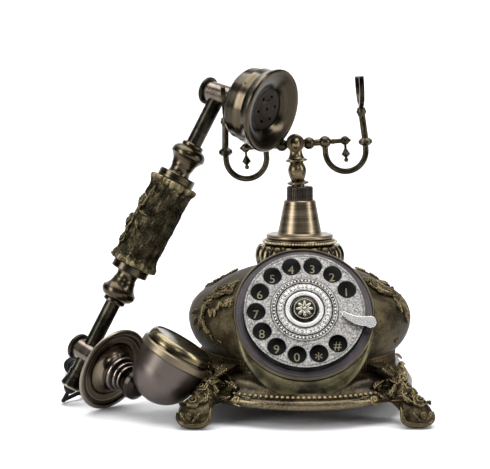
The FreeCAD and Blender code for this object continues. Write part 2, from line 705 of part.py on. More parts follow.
# Horns: a bent tube from the ball round under the finial, up to a collar
collar = turned("horn_collar", [
    ("0", "0"), ("horn_tube_radius + 1", "0"), ("horn_collar_radius", "horn_collar_height*0.3"),
    ("horn_collar_radius", "horn_collar_height*0.7"), ("horn_tube_radius + 1", "horn_collar_height"),
    ("0", "horn_collar_height")])
COLLAR_FOOT = ARM_AXIS - size("horn_collar_drop + horn_collar_height*0.5")
for side, name in ((1, "right_horn"), (-1, "left_horn")):
    inner_x = side * size("arm_ball_x")
    outer_x = side * size("arm_ball_x + horn_bend_radius*2")
    middle_x = side * size("arm_ball_x + horn_bend_radius")
    bend_height = ARM_AXIS - size("horn_leg")
    low = Vector(middle_x, 0, bend_height - size("horn_bend_radius"))
    path = Part.Wire([Part.makeLine(Vector(inner_x, 0, ARM_AXIS - 1), Vector(inner_x, 0, bend_height)),
                      Part.Arc(Vector(inner_x, 0, bend_height), low,
                               Vector(outer_x, 0, bend_height)).toShape(),
                      Part.makeLine(Vector(outer_x, 0, bend_height),
                                    Vector(outer_x, 0, COLLAR_FOOT + 1))])
    section = Part.Wire([Part.makeCircle(size("horn_tube_radius"), Vector(inner_x, 0, ARM_AXIS - 1),
                                         Vector(0, 0, -1))])
    tube = path.makePipeShell([section], True, False)
    collar_solid = collar.Shape.copy()
    collar_solid.translate(Vector(outer_x, 0, COLLAR_FOOT))
    shaped(name, tube.fuse(collar_solid).cut(arm_solids[side]), lean)

# Forks: an upright with a bead ring that carries the open U for the handset
fork = padded("fork_outline", [
    ("fork_opening*0.5 + fork_blade", "fork_height - 1"),
    ("fork_opening*0.5 + fork_blade*0.5", "fork_height"),
    ("fork_opening*0.5", "fork_height - 1"),
    ("fork_opening*0.5", "fork_neck + 3 + fork_opening*0.5", -1, "fork_opening*0.5"),
    ("0", "fork_neck + 3", -1, "fork_opening*0.5"),
    ("0 - fork_opening*0.5", "fork_neck + 3 + fork_opening*0.5"),
    ("0 - fork_opening*0.5", "fork_height - 1"),
    ("0 - fork_opening*0.5 - fork_blade*0.5", "fork_height"),
    ("0 - fork_opening*0.5 - fork_blade", "fork_height - 1"),
    ("0 - fork_opening*0.5 - fork_blade", "fork_neck + 3 + fork_opening*0.5", 1,
     "fork_opening*0.5 + fork_blade"),
    ("0 - fork_width*0.5", "fork_neck + 1.3"), ("0 - fork_width*0.5", "2"), ("fork_width*0.5", "2"),
    ("fork_width*0.5", "fork_neck + 1.3", 1, "fork_opening*0.5 + fork_blade"),
    ("fork_opening*0.5 + fork_blade", "fork_neck + 3 + fork_opening*0.5")],
    "YZ_Plane", "fork_width", midplane=True)
bead = turned("fork_bead", [
    ("0", "0 - fork_ring_radius*0.75"), ("horn_tube_radius + 0.25", "0 - fork_ring_radius*0.75"),
    ("fork_ring_radius - 1", "0 - fork_ring_radius*0.3", 1, "fork_ring_radius*0.4"),
    ("fork_ring_radius - 1", "fork_ring_radius*0.3"), ("horn_tube_radius + 0.6",
                                                       "fork_ring_radius*0.75"),
    ("0", "fork_ring_radius*0.75")])
for side, name in ((1, "right_fork"), (-1, "left_fork")):
    foot_point = Vector(side * size("arm_ball_x + horn_bend_radius*2"), 0,
                        COLLAR_FOOT + size("horn_collar_height"))
    ring_point = Vector(foot_point.x - side * size("upright_inset"), 0,
                        ARM_AXIS + size("fork_ring_rise"))
    reach = ring_point - foot_point
    upright = Part.makeCylinder(size("horn_tube_radius + 0.25"), reach.Length, foot_point, reach)
    trim = disc(size("fork_height"), 0, size("fork_height"))
    trim.translate(Vector(foot_point.x, 0, foot_point.z - size("fork_height")))
    bead_solid, fork_solid = bead.Shape.copy(), fork.Shape.copy()
    bead_solid.translate(ring_point)
    fork_solid.translate(ring_point)
    stub = Part.makeCylinder(size("horn_tube_radius + 0.25"), 1.5, foot_point - reach.normalize() * 0.8,
                             reach)
    shaped(name, upright.fuse([stub, bead_solid, fork_solid]).cut(trim), lean)

# Drops: a barb and a ball under each finial
drop = turned("drop_profile", [
    ("0", "0 - drop_length"), ("0.9", "0 - drop_length + drop_ball_radius*1.9"),
    ("0.9", "0 - drop_length*0.72"), ("drop_barb_radius", "0 - drop_length*0.54"),
    ("0.9", "0 - drop_length*0.2"), ("0.9", "2"), ("0", "2")])
drop_ball = Part.makeSphere(size("drop_ball_radius"),
                            Vector(0, 0, size("drop_ball_radius - drop_length")))
drops = []
for side, arm_solid in arm_solids.items():
    one = drop.Shape.fuse(drop_ball)
    one.translate(Vector(side * size("arm_finial_x"), 0, ARM_AXIS - size("arm_finial_radius")))
    drops.append(one.cut(arm_solid))
shaped("cradle_drops", Part.makeCompound(drops), lean)

# Dial drum with its floor, pierced for the post of the finger stop
DRUM_BACK = drum_front + " - drum_depth"
KNEE = drum_front + " - drum_depth*0.7"
drum = turned("dial_drum_profile", [
    ("bezel_radius - drum_wall", drum_front), ("bezel_radius", drum_front), ("drum_back_radius", KNEE),
    ("drum_back_radius - drum_wall*3", DRUM_BACK), ("0", DRUM_BACK), ("0", DRUM_BACK + " + drum_wall"),
    ("drum_back_radius - drum_wall*3.5", DRUM_BACK + " + drum_wall"),
    ("drum_back_radius - drum_wall", KNEE)])
post_angle = math.radians(size("stop_angle"))
post_circle = size("stop_pad_circle - 0.7")
post_place = Vector(post_circle * math.cos(post_angle), post_circle * math.sin(post_angle), 0)


def post_hole(radius, low, high):
    """A bore on the axis of the finger stop's post."""
    return Part.makeCylinder(radius, high - low, post_place + Vector(0, 0, low))


pocket_low = size(drum_front + " - stop_travel - 3")
shaped("dial_drum", drum.Shape.cut(post_hole(size("stop_post_radius + 0.5"), pocket_low, 0)),
       dial_place)
bezel = turned("dial_bezel", [
    ("dial_ring_radius", drum_front), ("bezel_radius", drum_front), ("bezel_radius",
                                                                     drum_front + " + bezel_height*0.7"),
    ("bezel_radius - 0.5", drum_front + " + bezel_height"), ("dial_ring_radius + 0.4",
                                                             drum_front + " + bezel_height"),
    ("dial_ring_radius", drum_front + " + bezel_height*0.7")])
keep(bezel, "dial_bezel", dial_place)

# Dial ring, number plate and mechanism plate, pierced for the spindle and the stop's post
RING_FRONT = "0 - number_plate_depth - number_plate_thickness"
spindle_bore = "spindle_radius + spindle_clearance"
dial_ring = turned("dial_ring_profile", ring("dial_ring_bore", "dial_ring_radius", drum_front,
                                             RING_FRONT))
post_bore = post_hole(size("stop_post_radius + spindle_clearance"), pocket_low, 0)
shaped("dial_ring", dial_ring.Shape.cut(post_bore), dial_place)
keep(turned("number_plate", ring(spindle_bore, "number_plate_radius", RING_FRONT,
                                 "0 - number_plate_depth")),
     "number_plate", dial_place)
PLATE_BACK = drum_front + " - mechanism_plate_thickness"
mechanism = turned("mechanism_profile", ring(spindle_bore, "bezel_radius - drum_wall - 0.3", PLATE_BACK,
                                             drum_front))
GEAR_FRONT = PLATE_BACK + " - 0.4"
GEAR_BACK = GEAR_FRONT + " - gear_width"
gear_centres = size("gear_module") * (size("gear_teeth") + size("pinion_teeth")) / 2
pinion_place = Vector(0, -gear_centres, 0)
pin_length = size("gear_width") + 4.4
pin = Part.makeCylinder(size("pinion_pin_radius"), pin_length,
                        pinion_place + Vector(0, 0, size(PLATE_BACK) - pin_length))
plate = mechanism.Shape.cut(post_hole(size("stop_post_radius + 0.5"), pocket_low, 0)).fuse(pin)
shaped("mechanism_plate", plate, dial_place)

# Finger wheel with twelve holes, raised inner ring and boss; the medallion sits in its middle
wheel = turned("finger_wheel", [
    ("0", "0 - wheel_thickness - wheel_boss_length"), ("wheel_boss_radius",
                                                       "0 - wheel_thickness - wheel_boss_length"),
    ("wheel_boss_radius", "0 - wheel_thickness"), ("wheel_radius - 0.5", "0 - wheel_thickness"),
    ("wheel_radius", "0 - wheel_thickness + 0.5"), ("wheel_radius", "0 - 0.5"), ("wheel_radius - 0.5",
                                                                                 "0"),
    ("wheel_step_radius + 0.4", "0"), ("wheel_step_radius", "wheel_step_height"),
    ("wheel_recess_radius", "wheel_step_height"), ("wheel_recess_radius - 0.5", "0"), ("0", "0")])
hole_sketch = new_sketch(wheel, "finger_hole_outline", "XY_Plane")
hole_angle = math.radians(size("first_hole_angle"))
hole_spot = Vector(math.cos(hole_angle), math.sin(hole_angle), 0) * size("finger_circle_radius")
hole_sketch.addGeometry(Part.Circle(hole_spot, Vector(0, 0, 1), size("finger_hole_radius")))
for kind, number, trig in (("DistanceX", hole_spot.x, "cos"), ("DistanceY", hole_spot.y, "sin")):
    index = hole_sketch.addConstraint(Sketcher.Constraint(kind, -1, 1, 0, 3, number))
    hole_sketch.setExpression("Constraints[%d]" % index,
                              "sizes.finger_circle_radius * %s(sizes.first_hole_angle * 1 deg) * 1 mm" % trig)
index = hole_sketch.addConstraint(Sketcher.Constraint("Radius", 0, size("finger_hole_radius")))
hole_sketch.setExpression("Constraints[%d]" % index, bound("finger_hole_radius"))
hole = wheel.newObject("PartDesign::Pocket", "finger_hole")
hole.Profile = hole_sketch
hole.setExpression("Length", bound("wheel_thickness*2"))
document.recompute()
holes = wheel.newObject("PartDesign::PolarPattern", "finger_holes")
holes.Originals = [hole]
holes.Axis = (hole_sketch, ["N_Axis"])
holes.setExpression("Angle", "sizes.finger_pitch_angle * (sizes.finger_holes - 1) * 1 deg")
holes.setExpression("Occurrences", "sizes.finger_holes")
wheel.Tip = holes
document.recompute()
rims = ["Edge%d" % i for i, edge in enumerate(holes.Shape.Edges, start=1)
        if hasattr(edge.Curve, "Radius") and abs(edge.Curve.Radius - size("finger_hole_radius")) < 0.01
        and abs(edge.BoundBox.ZMax) < 0.01]
eased = wheel.newObject("PartDesign::Chamfer", "finger_hole_rims")
eased.Base = (holes, rims)
eased.setExpression("Size", bound("finger_hole_bevel"))
wheel.Tip = eased
document.recompute()
keep(wheel, "finger_wheel", dial_place)
medallion = turned("wheel_medallion", [
    ("0", "0"), ("medallion_radius", "0"), ("medallion_radius", "0.5", 1, "medallion_radius*3.7"),
    ("1.2", "medallion_height"), ("0", "medallion_height")])
keep(medallion, "wheel_medallion", dial_place)


# Mechanism behind the dial: spindle, main gear, governor pinion and the spring can that returns the
# wheel
def gear_outline(teeth, module):
    """The closed outline of a gear with straight-sided, narrowed teeth, as points."""
    pitch_radius = module * teeth / 2
    tip, root = pitch_radius + 0.8 * module, pitch_radius - 1.15 * module
    step = 2 * math.pi / teeth
    points = []
    for tooth in range(teeth):
        middle = tooth * step
        for radius, share in ((root, -0.31), (tip, -0.115), (tip, 0.115), (root, 0.31)):
            angle = middle + share * step
            points.append(Vector(radius * math.cos(angle), radius * math.sin(angle), 0))
    return points


def gear(teeth, module, width):
    """A spur gear from the origin upwards."""
    points = gear_outline(teeth, module)
    return Part.Face(Part.makePolygon(points + points[:1])).extrude(Vector(0, 0, width))


SPINDLE_FOOT = GEAR_BACK + " - spring_can_height - 3.4"
spindle = turned("dial_spindle", [
    ("0", SPINDLE_FOOT), ("spindle_radius - 0.6", SPINDLE_FOOT), ("spindle_radius",
                                                                  SPINDLE_FOOT + " + 0.6"),
    ("spindle_radius", "0 - wheel_thickness - wheel_boss_length"), ("0",
                                                                    "0 - wheel_thickness - wheel_boss_length")])
keep(spindle, "dial_spindle", dial_place)
main_gear = gear(int(size("gear_teeth")), size("gear_module"), size("gear_width"))
main_gear = main_gear.cut(disc(size("spindle_radius"), -1, size("gear_width") + 1))
for i in range(5):
    window = Part.makeCylinder(size("gear_window_radius"), size("gear_width") + 2, Vector(9.4, 0, -1))
    window.rotate(Vector(), Vector(0, 0, 1), 72 * i)
    main_gear = main_gear.cut(window)
main_gear.translate(Vector(0, 0, size(GEAR_BACK)))
shaped("main_gear", main_gear, dial_place)
pinion = gear(int(size("pinion_teeth")), size("gear_module"), size("gear_width"))
pinion.rotate(Vector(), Vector(0, 0, 1), 90 + 180.0 / size("pinion_teeth"))
fly = Part.makeCylinder(size("governor_radius"), 1.6, Vector(0, 0, -2.4))
hub_piece = Part.makeCylinder(2.4, 1.0, Vector(0, 0, -0.9))
pinion = pinion.fuse([fly, hub_piece])
pinion = pinion.cut(disc(size("pinion_pin_radius + spindle_clearance"), -4, size("gear_width") + 1))
pinion.translate(pinion_place + Vector(0, 0, size(GEAR_BACK)))
shaped("governor_pinion", pinion, dial_place)
CAN_FRONT = GEAR_BACK + " - 1"
can = turned("spring_can_profile", [
    (spindle_bore, CAN_FRONT + " - spring_can_height"), ("spring_post_circle + 2.2",
                                                         CAN_FRONT + " - spring_can_height"),
    ("spring_post_circle + 2.2", CAN_FRONT + " - spring_can_height + 1.4"),
    ("spring_can_radius", CAN_FRONT + " - spring_can_height + 1.4"),
    ("spring_can_radius", CAN_FRONT + " - 0.8"), ("spring_can_radius - 0.8", CAN_FRONT), (spindle_bore,
                                                                                          CAN_FRONT)])
can_solid = can.Shape.cut(Part.makeCylinder(size("governor_radius + 1"), 40,
                                            pinion_place + Vector(0, 0, -40)))
post_span = size(PLATE_BACK) - size(CAN_FRONT + " - spring_can_height")
for angle in (45, 135, 225, 315):
    spot = Vector(math.cos(math.radians(angle)), math.sin(math.radians(angle)),
                  0) * size("spring_post_circle")
    can_solid = can_solid.fuse(Part.makeCylinder(1.5, post_span,
                                                 spot + Vector(0, 0, size(PLATE_BACK) - post_span)))
shaped("spring_can", can_solid, dial_place)


# Finger stop: a round pad drawn out into a crescent over the wheel, on a sprung post
pad_point = Vector(math.cos(post_angle), math.sin(post_angle), 0) * size("stop_pad_circle")
tip_angle = math.radians(size("stop_tip_angle"))
tip_point = Vector(math.cos(tip_angle), math.sin(tip_angle), 0) * size("stop_tip_circle")
inward = (tip_point - pad_point).normalize()
across = Vector(-inward.y, inward.x, 0)
pad_low, pad_high = (pad_point + (across * side + inward * 0.5).normalize() * size("stop_pad_radius")
                     for side in (1, -1))
tip_low, tip_high = (tip_point + across * side * size("stop_tip_radius") for side in (1, -1))
halfway = (pad_point + tip_point) * 0.5
low_point = halfway + across * (size("stop_pad_radius + stop_tip_radius") * 0.5 + size("stop_bow"))
high_point = halfway - across * (size("stop_pad_radius + stop_tip_radius") * 0.5 - size("stop_bow"))
crescent = Part.Wire([
    Part.Arc(pad_low, low_point, tip_low).toShape(),
    Part.Arc(tip_low, tip_point + inward * size("stop_tip_radius"), tip_high).toShape(),
    Part.Arc(tip_high, high_point, pad_high).toShape(),
    Part.Arc(pad_high, pad_point - inward * size("stop_pad_radius"), pad_low).toShape()])
stop = Part.Face(crescent).extrude(Vector(0, 0, size("stop_thickness")))
stop.translate(Vector(0, 0, size("stop_lift")))
stop = stop.makeFillet(0.3, [edge for edge in stop.Edges if abs(edge.BoundBox.ZLength) < 0.01
                             and edge.BoundBox.ZMin > size("stop_lift + stop_thickness") - 0.01])
post = post_hole(size("stop_post_radius"), size(drum_front + " - 1.4"), size("stop_lift + 0.5"))
shaped("finger_stop", stop.fuse(post), dial_place)

# Hook switch under the plunger rod, on a bracket from the top wall of the pot
switch_top = PLUNGER_FOOT + " - rod_length - cradle_travel - 0.4"
switch_height = size("switch_height")
switch = Part.makeBox(12, 16, switch_height, Vector(-6, -4, size(switch_top) - switch_height))
bracket = Part.makeBox(8, 2.4, size("pot_top - pot_wall") - size(switch_top) + switch_height,
                       Vector(-4, 12, size(switch_top) - switch_height))
shaped("hook_switch", switch.fuse(bracket))

# Circuit board with its larger components, on the bottom cover, and the ringer beside it
BOARD_LOW = size(cover_low + " + 2")
board = Part.makeBox(56, 40, 1.6, Vector(-28, -6, BOARD_LOW + 4))
parts_on_board = [Part.makeBox(16, 7, 9, Vector(-24, 4, BOARD_LOW + 5.6)),
                  Part.makeBox(12, 20, 6, Vector(2, 2, BOARD_LOW + 5.6)),
                  Part.makeCylinder(4, 12, Vector(22, 20, BOARD_LOW + 5.6)),
                  Part.makeCylinder(3, 9, Vector(22, 8, BOARD_LOW + 5.6))]
posts = [Part.makeCylinder(2.5, 4, Vector(x, y, BOARD_LOW)) for x in (-24, 24) for y in (-2, 30)]
shaped("circuit_board", board.multiFuse(parts_on_board + posts))
ringer = turned("ringer", [("0", "0"), ("ringer_radius", "0"), ("ringer_radius", "ringer_height*0.7"),
                           ("ringer_radius - 1.5", "ringer_height"), ("0", "ringer_height")])
keep(ringer, "ringer", Placement(Vector(-28, -36, BOARD_LOW), Rotation()))

# Bottom cover screws
screw = turned("cover_screw", [("0", "0"), ("screw_head_radius", "0"), ("screw_head_radius", "1"),
                               ("1.5", "1.8"),
                               ("0", "1.8")])
slot = Part.makeBox(0.8, 10, 0.6, Vector(-0.4, -5, 0))
screws = []
for angle in (45, 135, 225, 315):
    spot = Vector(math.cos(math.radians(angle)), math.sin(math.radians(angle)),
                  0) * size("screw_circle")
    one = screw.Shape.cut(slot)
    one.translate(spot + Vector(0, 0, size(cover_low) - 1.8))
    screws.append(one)
shaped("bottom_screws", Part.makeCompound(screws))

# Jacks in the back of the plinth: a flanged socket each, the left one for the handset cord
jack_profile = turned("jack_profile", [
    ("0", "0"), ("jack_radius", "0"), ("jack_radius", "jack_length - 1.6"), ("jack_radius + 1.6",
                                                                             "jack_length - 1.6"),
    ("jack_radius + 1.6", "jack_length"), ("plug_radius + 0.1", "jack_length"), ("plug_radius + 0.1",
                                                                                 "jack_length - jack_depth"),
    ("0", "jack_length - jack_depth")])
plinth_piece = document.getObject("plinth")
plinth_shape = plinth_piece.Shape.copy()
jack_places = {}
for side, name in ((-1, "handset_jack"), (1, "line_jack")):
    foot_spot = Vector(side * size("jack_x"), size("jack_y") - size("jack_length"), size("jack_z"))
    jack_place = Placement(foot_spot, Rotation(Vector(1, 0, 0), -90))
    jack_places[name] = jack_place
    jack_solid = jack_profile.Shape.copy()
    jack_solid.Placement = jack_place
    recess = Part.makeCylinder(size("jack_radius"), size("jack_length") + 20,
                               foot_spot - Vector(0, 20, 0), Vector(0, 1, 0))
    seat = Part.makeCylinder(size("jack_radius + 1.6"), 20,
                             foot_spot + Vector(0, size("jack_length") - 1.6, 0),
                             Vector(0, 1, 0))
    plinth_shape = plinth_shape.cut(recess.fuse(seat))
    shaped(name, jack_solid)
plinth_piece.Shape = plinth_shape

# Handset frame: from the lower joint along the handle, with the ear and mouth pieces to one side
def heading_vector(heading, elevation):
    """The unit vector with a heading from X towards Y and an elevation, both in degrees."""
    heading, elevation = math.radians(heading), math.radians(elevation)
    return Vector(math.cos(elevation) * math.cos(heading), math.cos(elevation) * math.sin(heading),
                  math.sin(elevation))


lower_joint = Vector(size("lower_joint_x"), size("lower_joint_y"), size("lower_joint_z"))
along = heading_vector(size("handle_heading"), size("handle_elevation"))
outward = heading_vector(size("face_heading"), 0)
outward.z = -(outward.x * along.x + outward.y * along.y) / along.z
outward.normalize()
sideways = along.cross(outward)
handset = Placement(FreeCAD.Matrix(outward.x, sideways.x, along.x, lower_joint.x,
                                   outward.y, sideways.y, along.y, lower_joint.y,
                                   outward.z, sideways.z, along.z, lower_joint.z, 0, 0, 0, 1))
facing = Rotation(Vector(0, 1, 0), 90)
lower_face = handset.multiply(Placement(Vector(), facing))
ear_facing = Rotation(Vector(0, 0, 1), size("ear_turn")).multiply(Rotation(Vector(0, 1, 0),
                                                                           90 - size("ear_tilt")))
upper_face = handset.multiply(Placement(Vector(0, 0, size("handle_length")), ear_facing))
handle_core = Part.makeCylinder(size("tube_radius"), size("handle_length + tail_length + 2"),
                                Vector(0, 0, -size("tail_length")))

# Handle tube from the bell at its tail up into the upper joint
tube = turned("handle_tube", ring("tube_bore", "tube_radius", "bell_length - tail_length - 3",
                                  "handle_length + 2"))
keep(tube, "handle_tube", handset)
bell = turned("tail_bell", [
    ("tube_bore", "0 - tail_length"), ("bell_radius - 1.2", "0 - tail_length"),
    ("bell_radius", "0 - tail_length + 1.2"), ("bell_radius", "0 - tail_length + 2.6"),
    ("tube_radius + 1.4", "bell_length*0.45 - tail_length", -1, "9"),
    ("tube_radius + 0.8", "bell_length*0.85 - tail_length"), ("tube_radius + 0.8",
                                                              "bell_length - tail_length"),
    ("tube_radius", "bell_length - tail_length"), ("tube_radius", "bell_length - tail_length - 3"),
    ("tube_bore", "bell_length - tail_length - 3")])
keep(bell, "tail_bell", handset)

# Grip sleeve and the turned ferrules that end it, each with a slot across its flat ring
sleeve_half = "sleeve_length*0.5"
grip = turned("grip_sleeve", [
    ("tube_radius", "0 - sleeve_length*0.5"), ("sleeve_radius - 2", "0 - sleeve_length*0.5"),
    ("sleeve_radius - 1.1", "0 - sleeve_length*0.5 + 4", 1, "sleeve_length*5.2"),
    ("sleeve_radius - 1.1", "sleeve_length*0.5 - 4"), ("sleeve_radius - 2", sleeve_half),
    ("tube_radius", sleeve_half)])
handle_middle = handset.multiply(Placement(Vector(0, 0, size("handle_length*0.5")), Rotation()))
keep(grip, "grip_sleeve", handle_middle)
ferrule = turned("ferrule_profile", [
    ("tube_radius", sleeve_half), ("ferrule_ring_radius - 0.6", sleeve_half),
    ("ferrule_ring_radius", "sleeve_length*0.5 + 0.6"),
    ("ferrule_ring_radius", "sleeve_length*0.5 + ferrule_ring_height - 0.6"),
    ("ferrule_ring_radius - 0.6", "sleeve_length*0.5 + ferrule_ring_height"),
    ("ferrule_waist_radius + 0.6", "sleeve_length*0.5 + ferrule_ring_height", -1, "7"),
    ("ferrule_waist_radius + 0.6", "sleeve_length*0.5 + ferrule_length*0.4", -1, "11"),
    ("ferrule_bulb_radius", "sleeve_length*0.5 + ferrule_length*0.66", 1, "ferrule_bulb_radius*0.46"),
    ("ferrule_waist_radius", "sleeve_length*0.5 + ferrule_length*0.9"),
    ("ferrule_waist_radius + 0.4", "sleeve_length*0.5 + ferrule_length*0.92"),
    ("ferrule_waist_radius + 0.4", "sleeve_length*0.5 + ferrule_length*0.97"),
    ("ferrule_waist_radius - 0.4", "sleeve_length*0.5 + ferrule_length"),
    ("tube_radius", "sleeve_length*0.5 + ferrule_length")])
ferrule_slot = Part.makeBox(1.4, 40, size("ferrule_ring_height*0.5"),
                            Vector(-0.7, -20, size("sleeve_length*0.5 + ferrule_ring_height*0.25")))
ferrule_slot = ferrule_slot.cut(Part.makeCylinder(size("ferrule_ring_radius - 1.2"), 100,
                                                  Vector(0, 0, 0)))
upper = ferrule.Shape.cut(ferrule_slot)
shaped("upper_ferrule", upper, handle_middle)
shaped("lower_ferrule", upper, handle_middle.multiply(Placement(Vector(),
                                                                Rotation(Vector(1, 0, 0), 180))))


# Joints where the ear and mouth pieces branch from the handle, with a domed cap behind each
def joint(name, reach, place, towards, core):
    """A barrel across the handle with a collar before the piece it carries, bored for the tube."""
    barrel = turned(name + "_profile", [
        ("0", "0 - barrel_back"), ("barrel_radius", "0 - barrel_back"),
        ("barrel_radius", reach + " - 2"), ("barrel_radius + 0.8", reach + " - 1.4"),
        ("barrel_radius + 0.8", reach + " - 0.4"), ("barrel_radius + 0.4", reach), ("0", reach)])
    barrel_shape = barrel.Shape.copy()
    barrel_shape.Placement = Placement(Vector(), towards)
    shaped(name, barrel_shape.cut(core), place)


upper_core = handle_core.copy()
upper_core.translate(Vector(0, 0, -size("handle_length")))
upper_joint_place = handset.multiply(Placement(Vector(0, 0, size("handle_length")), Rotation()))
joint("mouth_joint", "saucer_place - saucer_back", handset, facing, handle_core)
joint("ear_joint", "ear_start", upper_joint_place, ear_facing, upper_core)
cap_outline = [
    ("0", "0 - barrel_back - joint_cap_height"), ("joint_cap_radius*0.7",
                                                  "joint_cap_height*0.12 - barrel_back - joint_cap_height", 1, "joint_cap_radius*0.6"),
    ("joint_cap_radius", "joint_cap_height*0.55 - barrel_back - joint_cap_height"),
    ("joint_cap_radius", "0 - barrel_back - 0.6"), ("joint_cap_radius - 0.6", "0 - barrel_back"),
    ("0", "0 - barrel_back")]
for name, place in (("mouth_joint_cap", lower_face), ("ear_joint_cap", upper_face)):
    keep(turned(name, cap_outline), name, place)

# Ear piece: a bell-shaped back, a flared front with its dish, a pierced disc and the receiver inside
EAR_SEAM = "ear_start + ear_back_length"
EAR_FACE = EAR_SEAM + " + ear_front_length"
ear_back = turned("ear_cup_back", [
    ("0", "ear_start"), ("barrel_radius + 0.8", "ear_start"), ("ear_neck_radius", "ear_start + 3"),
    ("ear_neck_radius + 4.4", "ear_start + 5.6"), ("ear_back_radius - 3.4", "ear_start + 6.9"),
    ("ear_back_radius - 0.8", "ear_start + 8.4"), ("ear_back_radius", "ear_start + 10"),
    ("ear_back_radius", EAR_SEAM), ("ear_back_radius - ear_wall", EAR_SEAM),
    ("ear_back_radius - ear_wall", EAR_SEAM + " - 4"), ("ear_back_radius*0.66", "ear_start + 8.6"),
    ("0", "ear_start + 8.6")])
keep(ear_back, "ear_cup_back", upper_face)
DISC_FACE = EAR_FACE + " - ear_dish_depth"
DISC_BACK = DISC_FACE + " - ear_disc_thickness"
ear_front = turned("ear_cup_front", [
    ("ear_back_radius - ear_wall", EAR_SEAM), ("ear_back_radius + 0.6", EAR_SEAM),
    ("ear_back_radius + 0.6", EAR_SEAM + " + 1.6"), ("ear_back_radius + 1.5", EAR_SEAM + " + 2.4"),
    ("ear_back_radius + 1", EAR_FACE + " - 8", -1, "16"), ("ear_rim_radius", EAR_FACE + " - 2.2"),
    ("ear_rim_radius", EAR_FACE + " - 0.8"), ("ear_rim_radius - 0.9", EAR_FACE),
    ("ear_rim_radius - 2.2", EAR_FACE, 1, "26"), ("ear_disc_radius", DISC_FACE + " + 0.4"),
    ("ear_disc_radius", DISC_BACK), ("ear_disc_radius - 1.8", DISC_BACK), ("ear_disc_radius - 1.8",
                                                                           DISC_BACK + " - 1.6"),
    ("ear_back_radius - ear_wall", DISC_BACK + " - 1.6")])
keep(ear_front, "ear_cup_front", upper_face)
ear_disc = turned("ear_disc_profile", [
    ("0", DISC_BACK), ("ear_disc_radius", DISC_BACK), ("ear_disc_radius", DISC_FACE + " - 0.3"),
    ("ear_disc_radius - 0.5", DISC_FACE), ("ear_disc_radius*0.46", DISC_FACE),
    ("ear_disc_radius*0.4", DISC_FACE + " + 0.5"), ("0", DISC_FACE + " + 0.5")])
ear_holes = [Part.makeCylinder(size("sound_hole_radius"), 8, Vector(0, 0, size(DISC_BACK) - 2))]
for i in range(6):
    one = Part.makeCylinder(size("sound_hole_radius"), 8,
                            Vector(size("sound_hole_circle"), 0, size(DISC_BACK) - 2))
    one.rotate(Vector(), Vector(0, 0, 1), 60 * i)
    ear_holes.append(one)
shaped("ear_disc", ear_disc.Shape.cut(Part.makeCompound(ear_holes)), upper_face)
receiver = turned("receiver_capsule", [
    ("0", EAR_SEAM + " - 1"), ("ear_back_radius - ear_wall - 3", EAR_SEAM + " - 1"),
    ("ear_back_radius - ear_wall - 3", DISC_BACK + " - 3"), ("ear_disc_radius - 3",
                                                             DISC_BACK + " - 1.8"),
    ("0", DISC_BACK + " - 1.8")])
keep(receiver, "receiver_capsule", upper_face)

# Mouth piece: saucer, stepped boss, and the cup with its ribbed band and bevelled lid
SAUCER_BACK = "saucer_place - saucer_back"
saucer = turned("mouth_saucer", [
    ("0", SAUCER_BACK), ("boss_radius + 2", SAUCER_BACK, -1, "30"), ("saucer_radius*0.8",
                                                                     "saucer_place - 3.2"),
    ("saucer_radius - 0.7", "saucer_place - 1.4"), ("saucer_radius", "saucer_place - 0.7"),
    ("saucer_radius", "saucer_place"), ("saucer_radius - 0.7", "saucer_place + 0.6"),
    ("saucer_radius - 2.6", "saucer_place + 0.6"), ("saucer_radius - 4", "saucer_place - 0.6"),
    ("saucer_radius*0.66", "saucer_place - 1.4"), ("saucer_radius*0.62", "saucer_place - 2.6"),
    ("0", "saucer_place - 2.6")])
keep(saucer, "mouth_saucer", lower_face)
cup_place = lower_face.multiply(Placement(Vector(-size("cup_along"), 0, size("cup_out")), Rotation()))
cup_place = Placement(cup_place.Base, handset.Rotation.multiply(Rotation(Vector(0, 1, 0),
                                                                         size("cup_tilt"))))
half_band = "band_height*0.5"
bowl_profile = [
    ("0", "0 - cup_depth", 1, "cup_bottom_radius"), ("cup_bottom_radius",
                                                     "cup_bottom_radius - cup_depth"),
    ("cup_radius", "0 - band_height*0.5")]
cup = turned("mouth_cup_profile", bowl_profile + [
    ("band_radius - 0.8", "0 - band_height*0.5"), ("band_radius", "0.8 - band_height*0.5"),
    ("band_radius", "band_height*0.5 - 0.8"), ("band_radius - 0.8",
                                               half_band), ("cup_radius - cup_wall", half_band),
    ("cup_bottom_radius - cup_wall", "cup_bottom_radius - cup_depth", -1,
     "cup_bottom_radius - cup_wall"),
    ("0", "cup_wall - cup_depth")])
keep(cup, "mouth_cup", cup_place)
bowl_block = turned("bowl_block", bowl_profile + [("0", "0 - band_height*0.5")])
bowl_solid = bowl_block.Shape.copy()
bowl_solid.Placement = cup_place
boss = turned("mouth_boss_profile", [
    ("0", "saucer_place - 2.6"), ("boss_radius + 4", "saucer_place - 2.6"), ("boss_radius + 4",
                                                                             "saucer_place + 1.4"),
    ("boss_radius + 2", "saucer_place + 1.8"), ("boss_radius + 2", "saucer_place + 5"),
    ("boss_radius", "saucer_place + 5.4"), ("boss_radius", "boss_end + 8"), ("0", "boss_end + 8")])
boss_solid = boss.Shape.copy()
boss_solid.Placement = lower_face
boss_cut = boss_solid.cut(bowl_solid)
boss_cut = min(boss_cut.Solids, key=lambda solid: solid.CenterOfMass.distanceToPoint(lower_joint))
shaped("mouth_boss", boss_cut)
LID_TOP = "band_height*0.5 + lid_height"
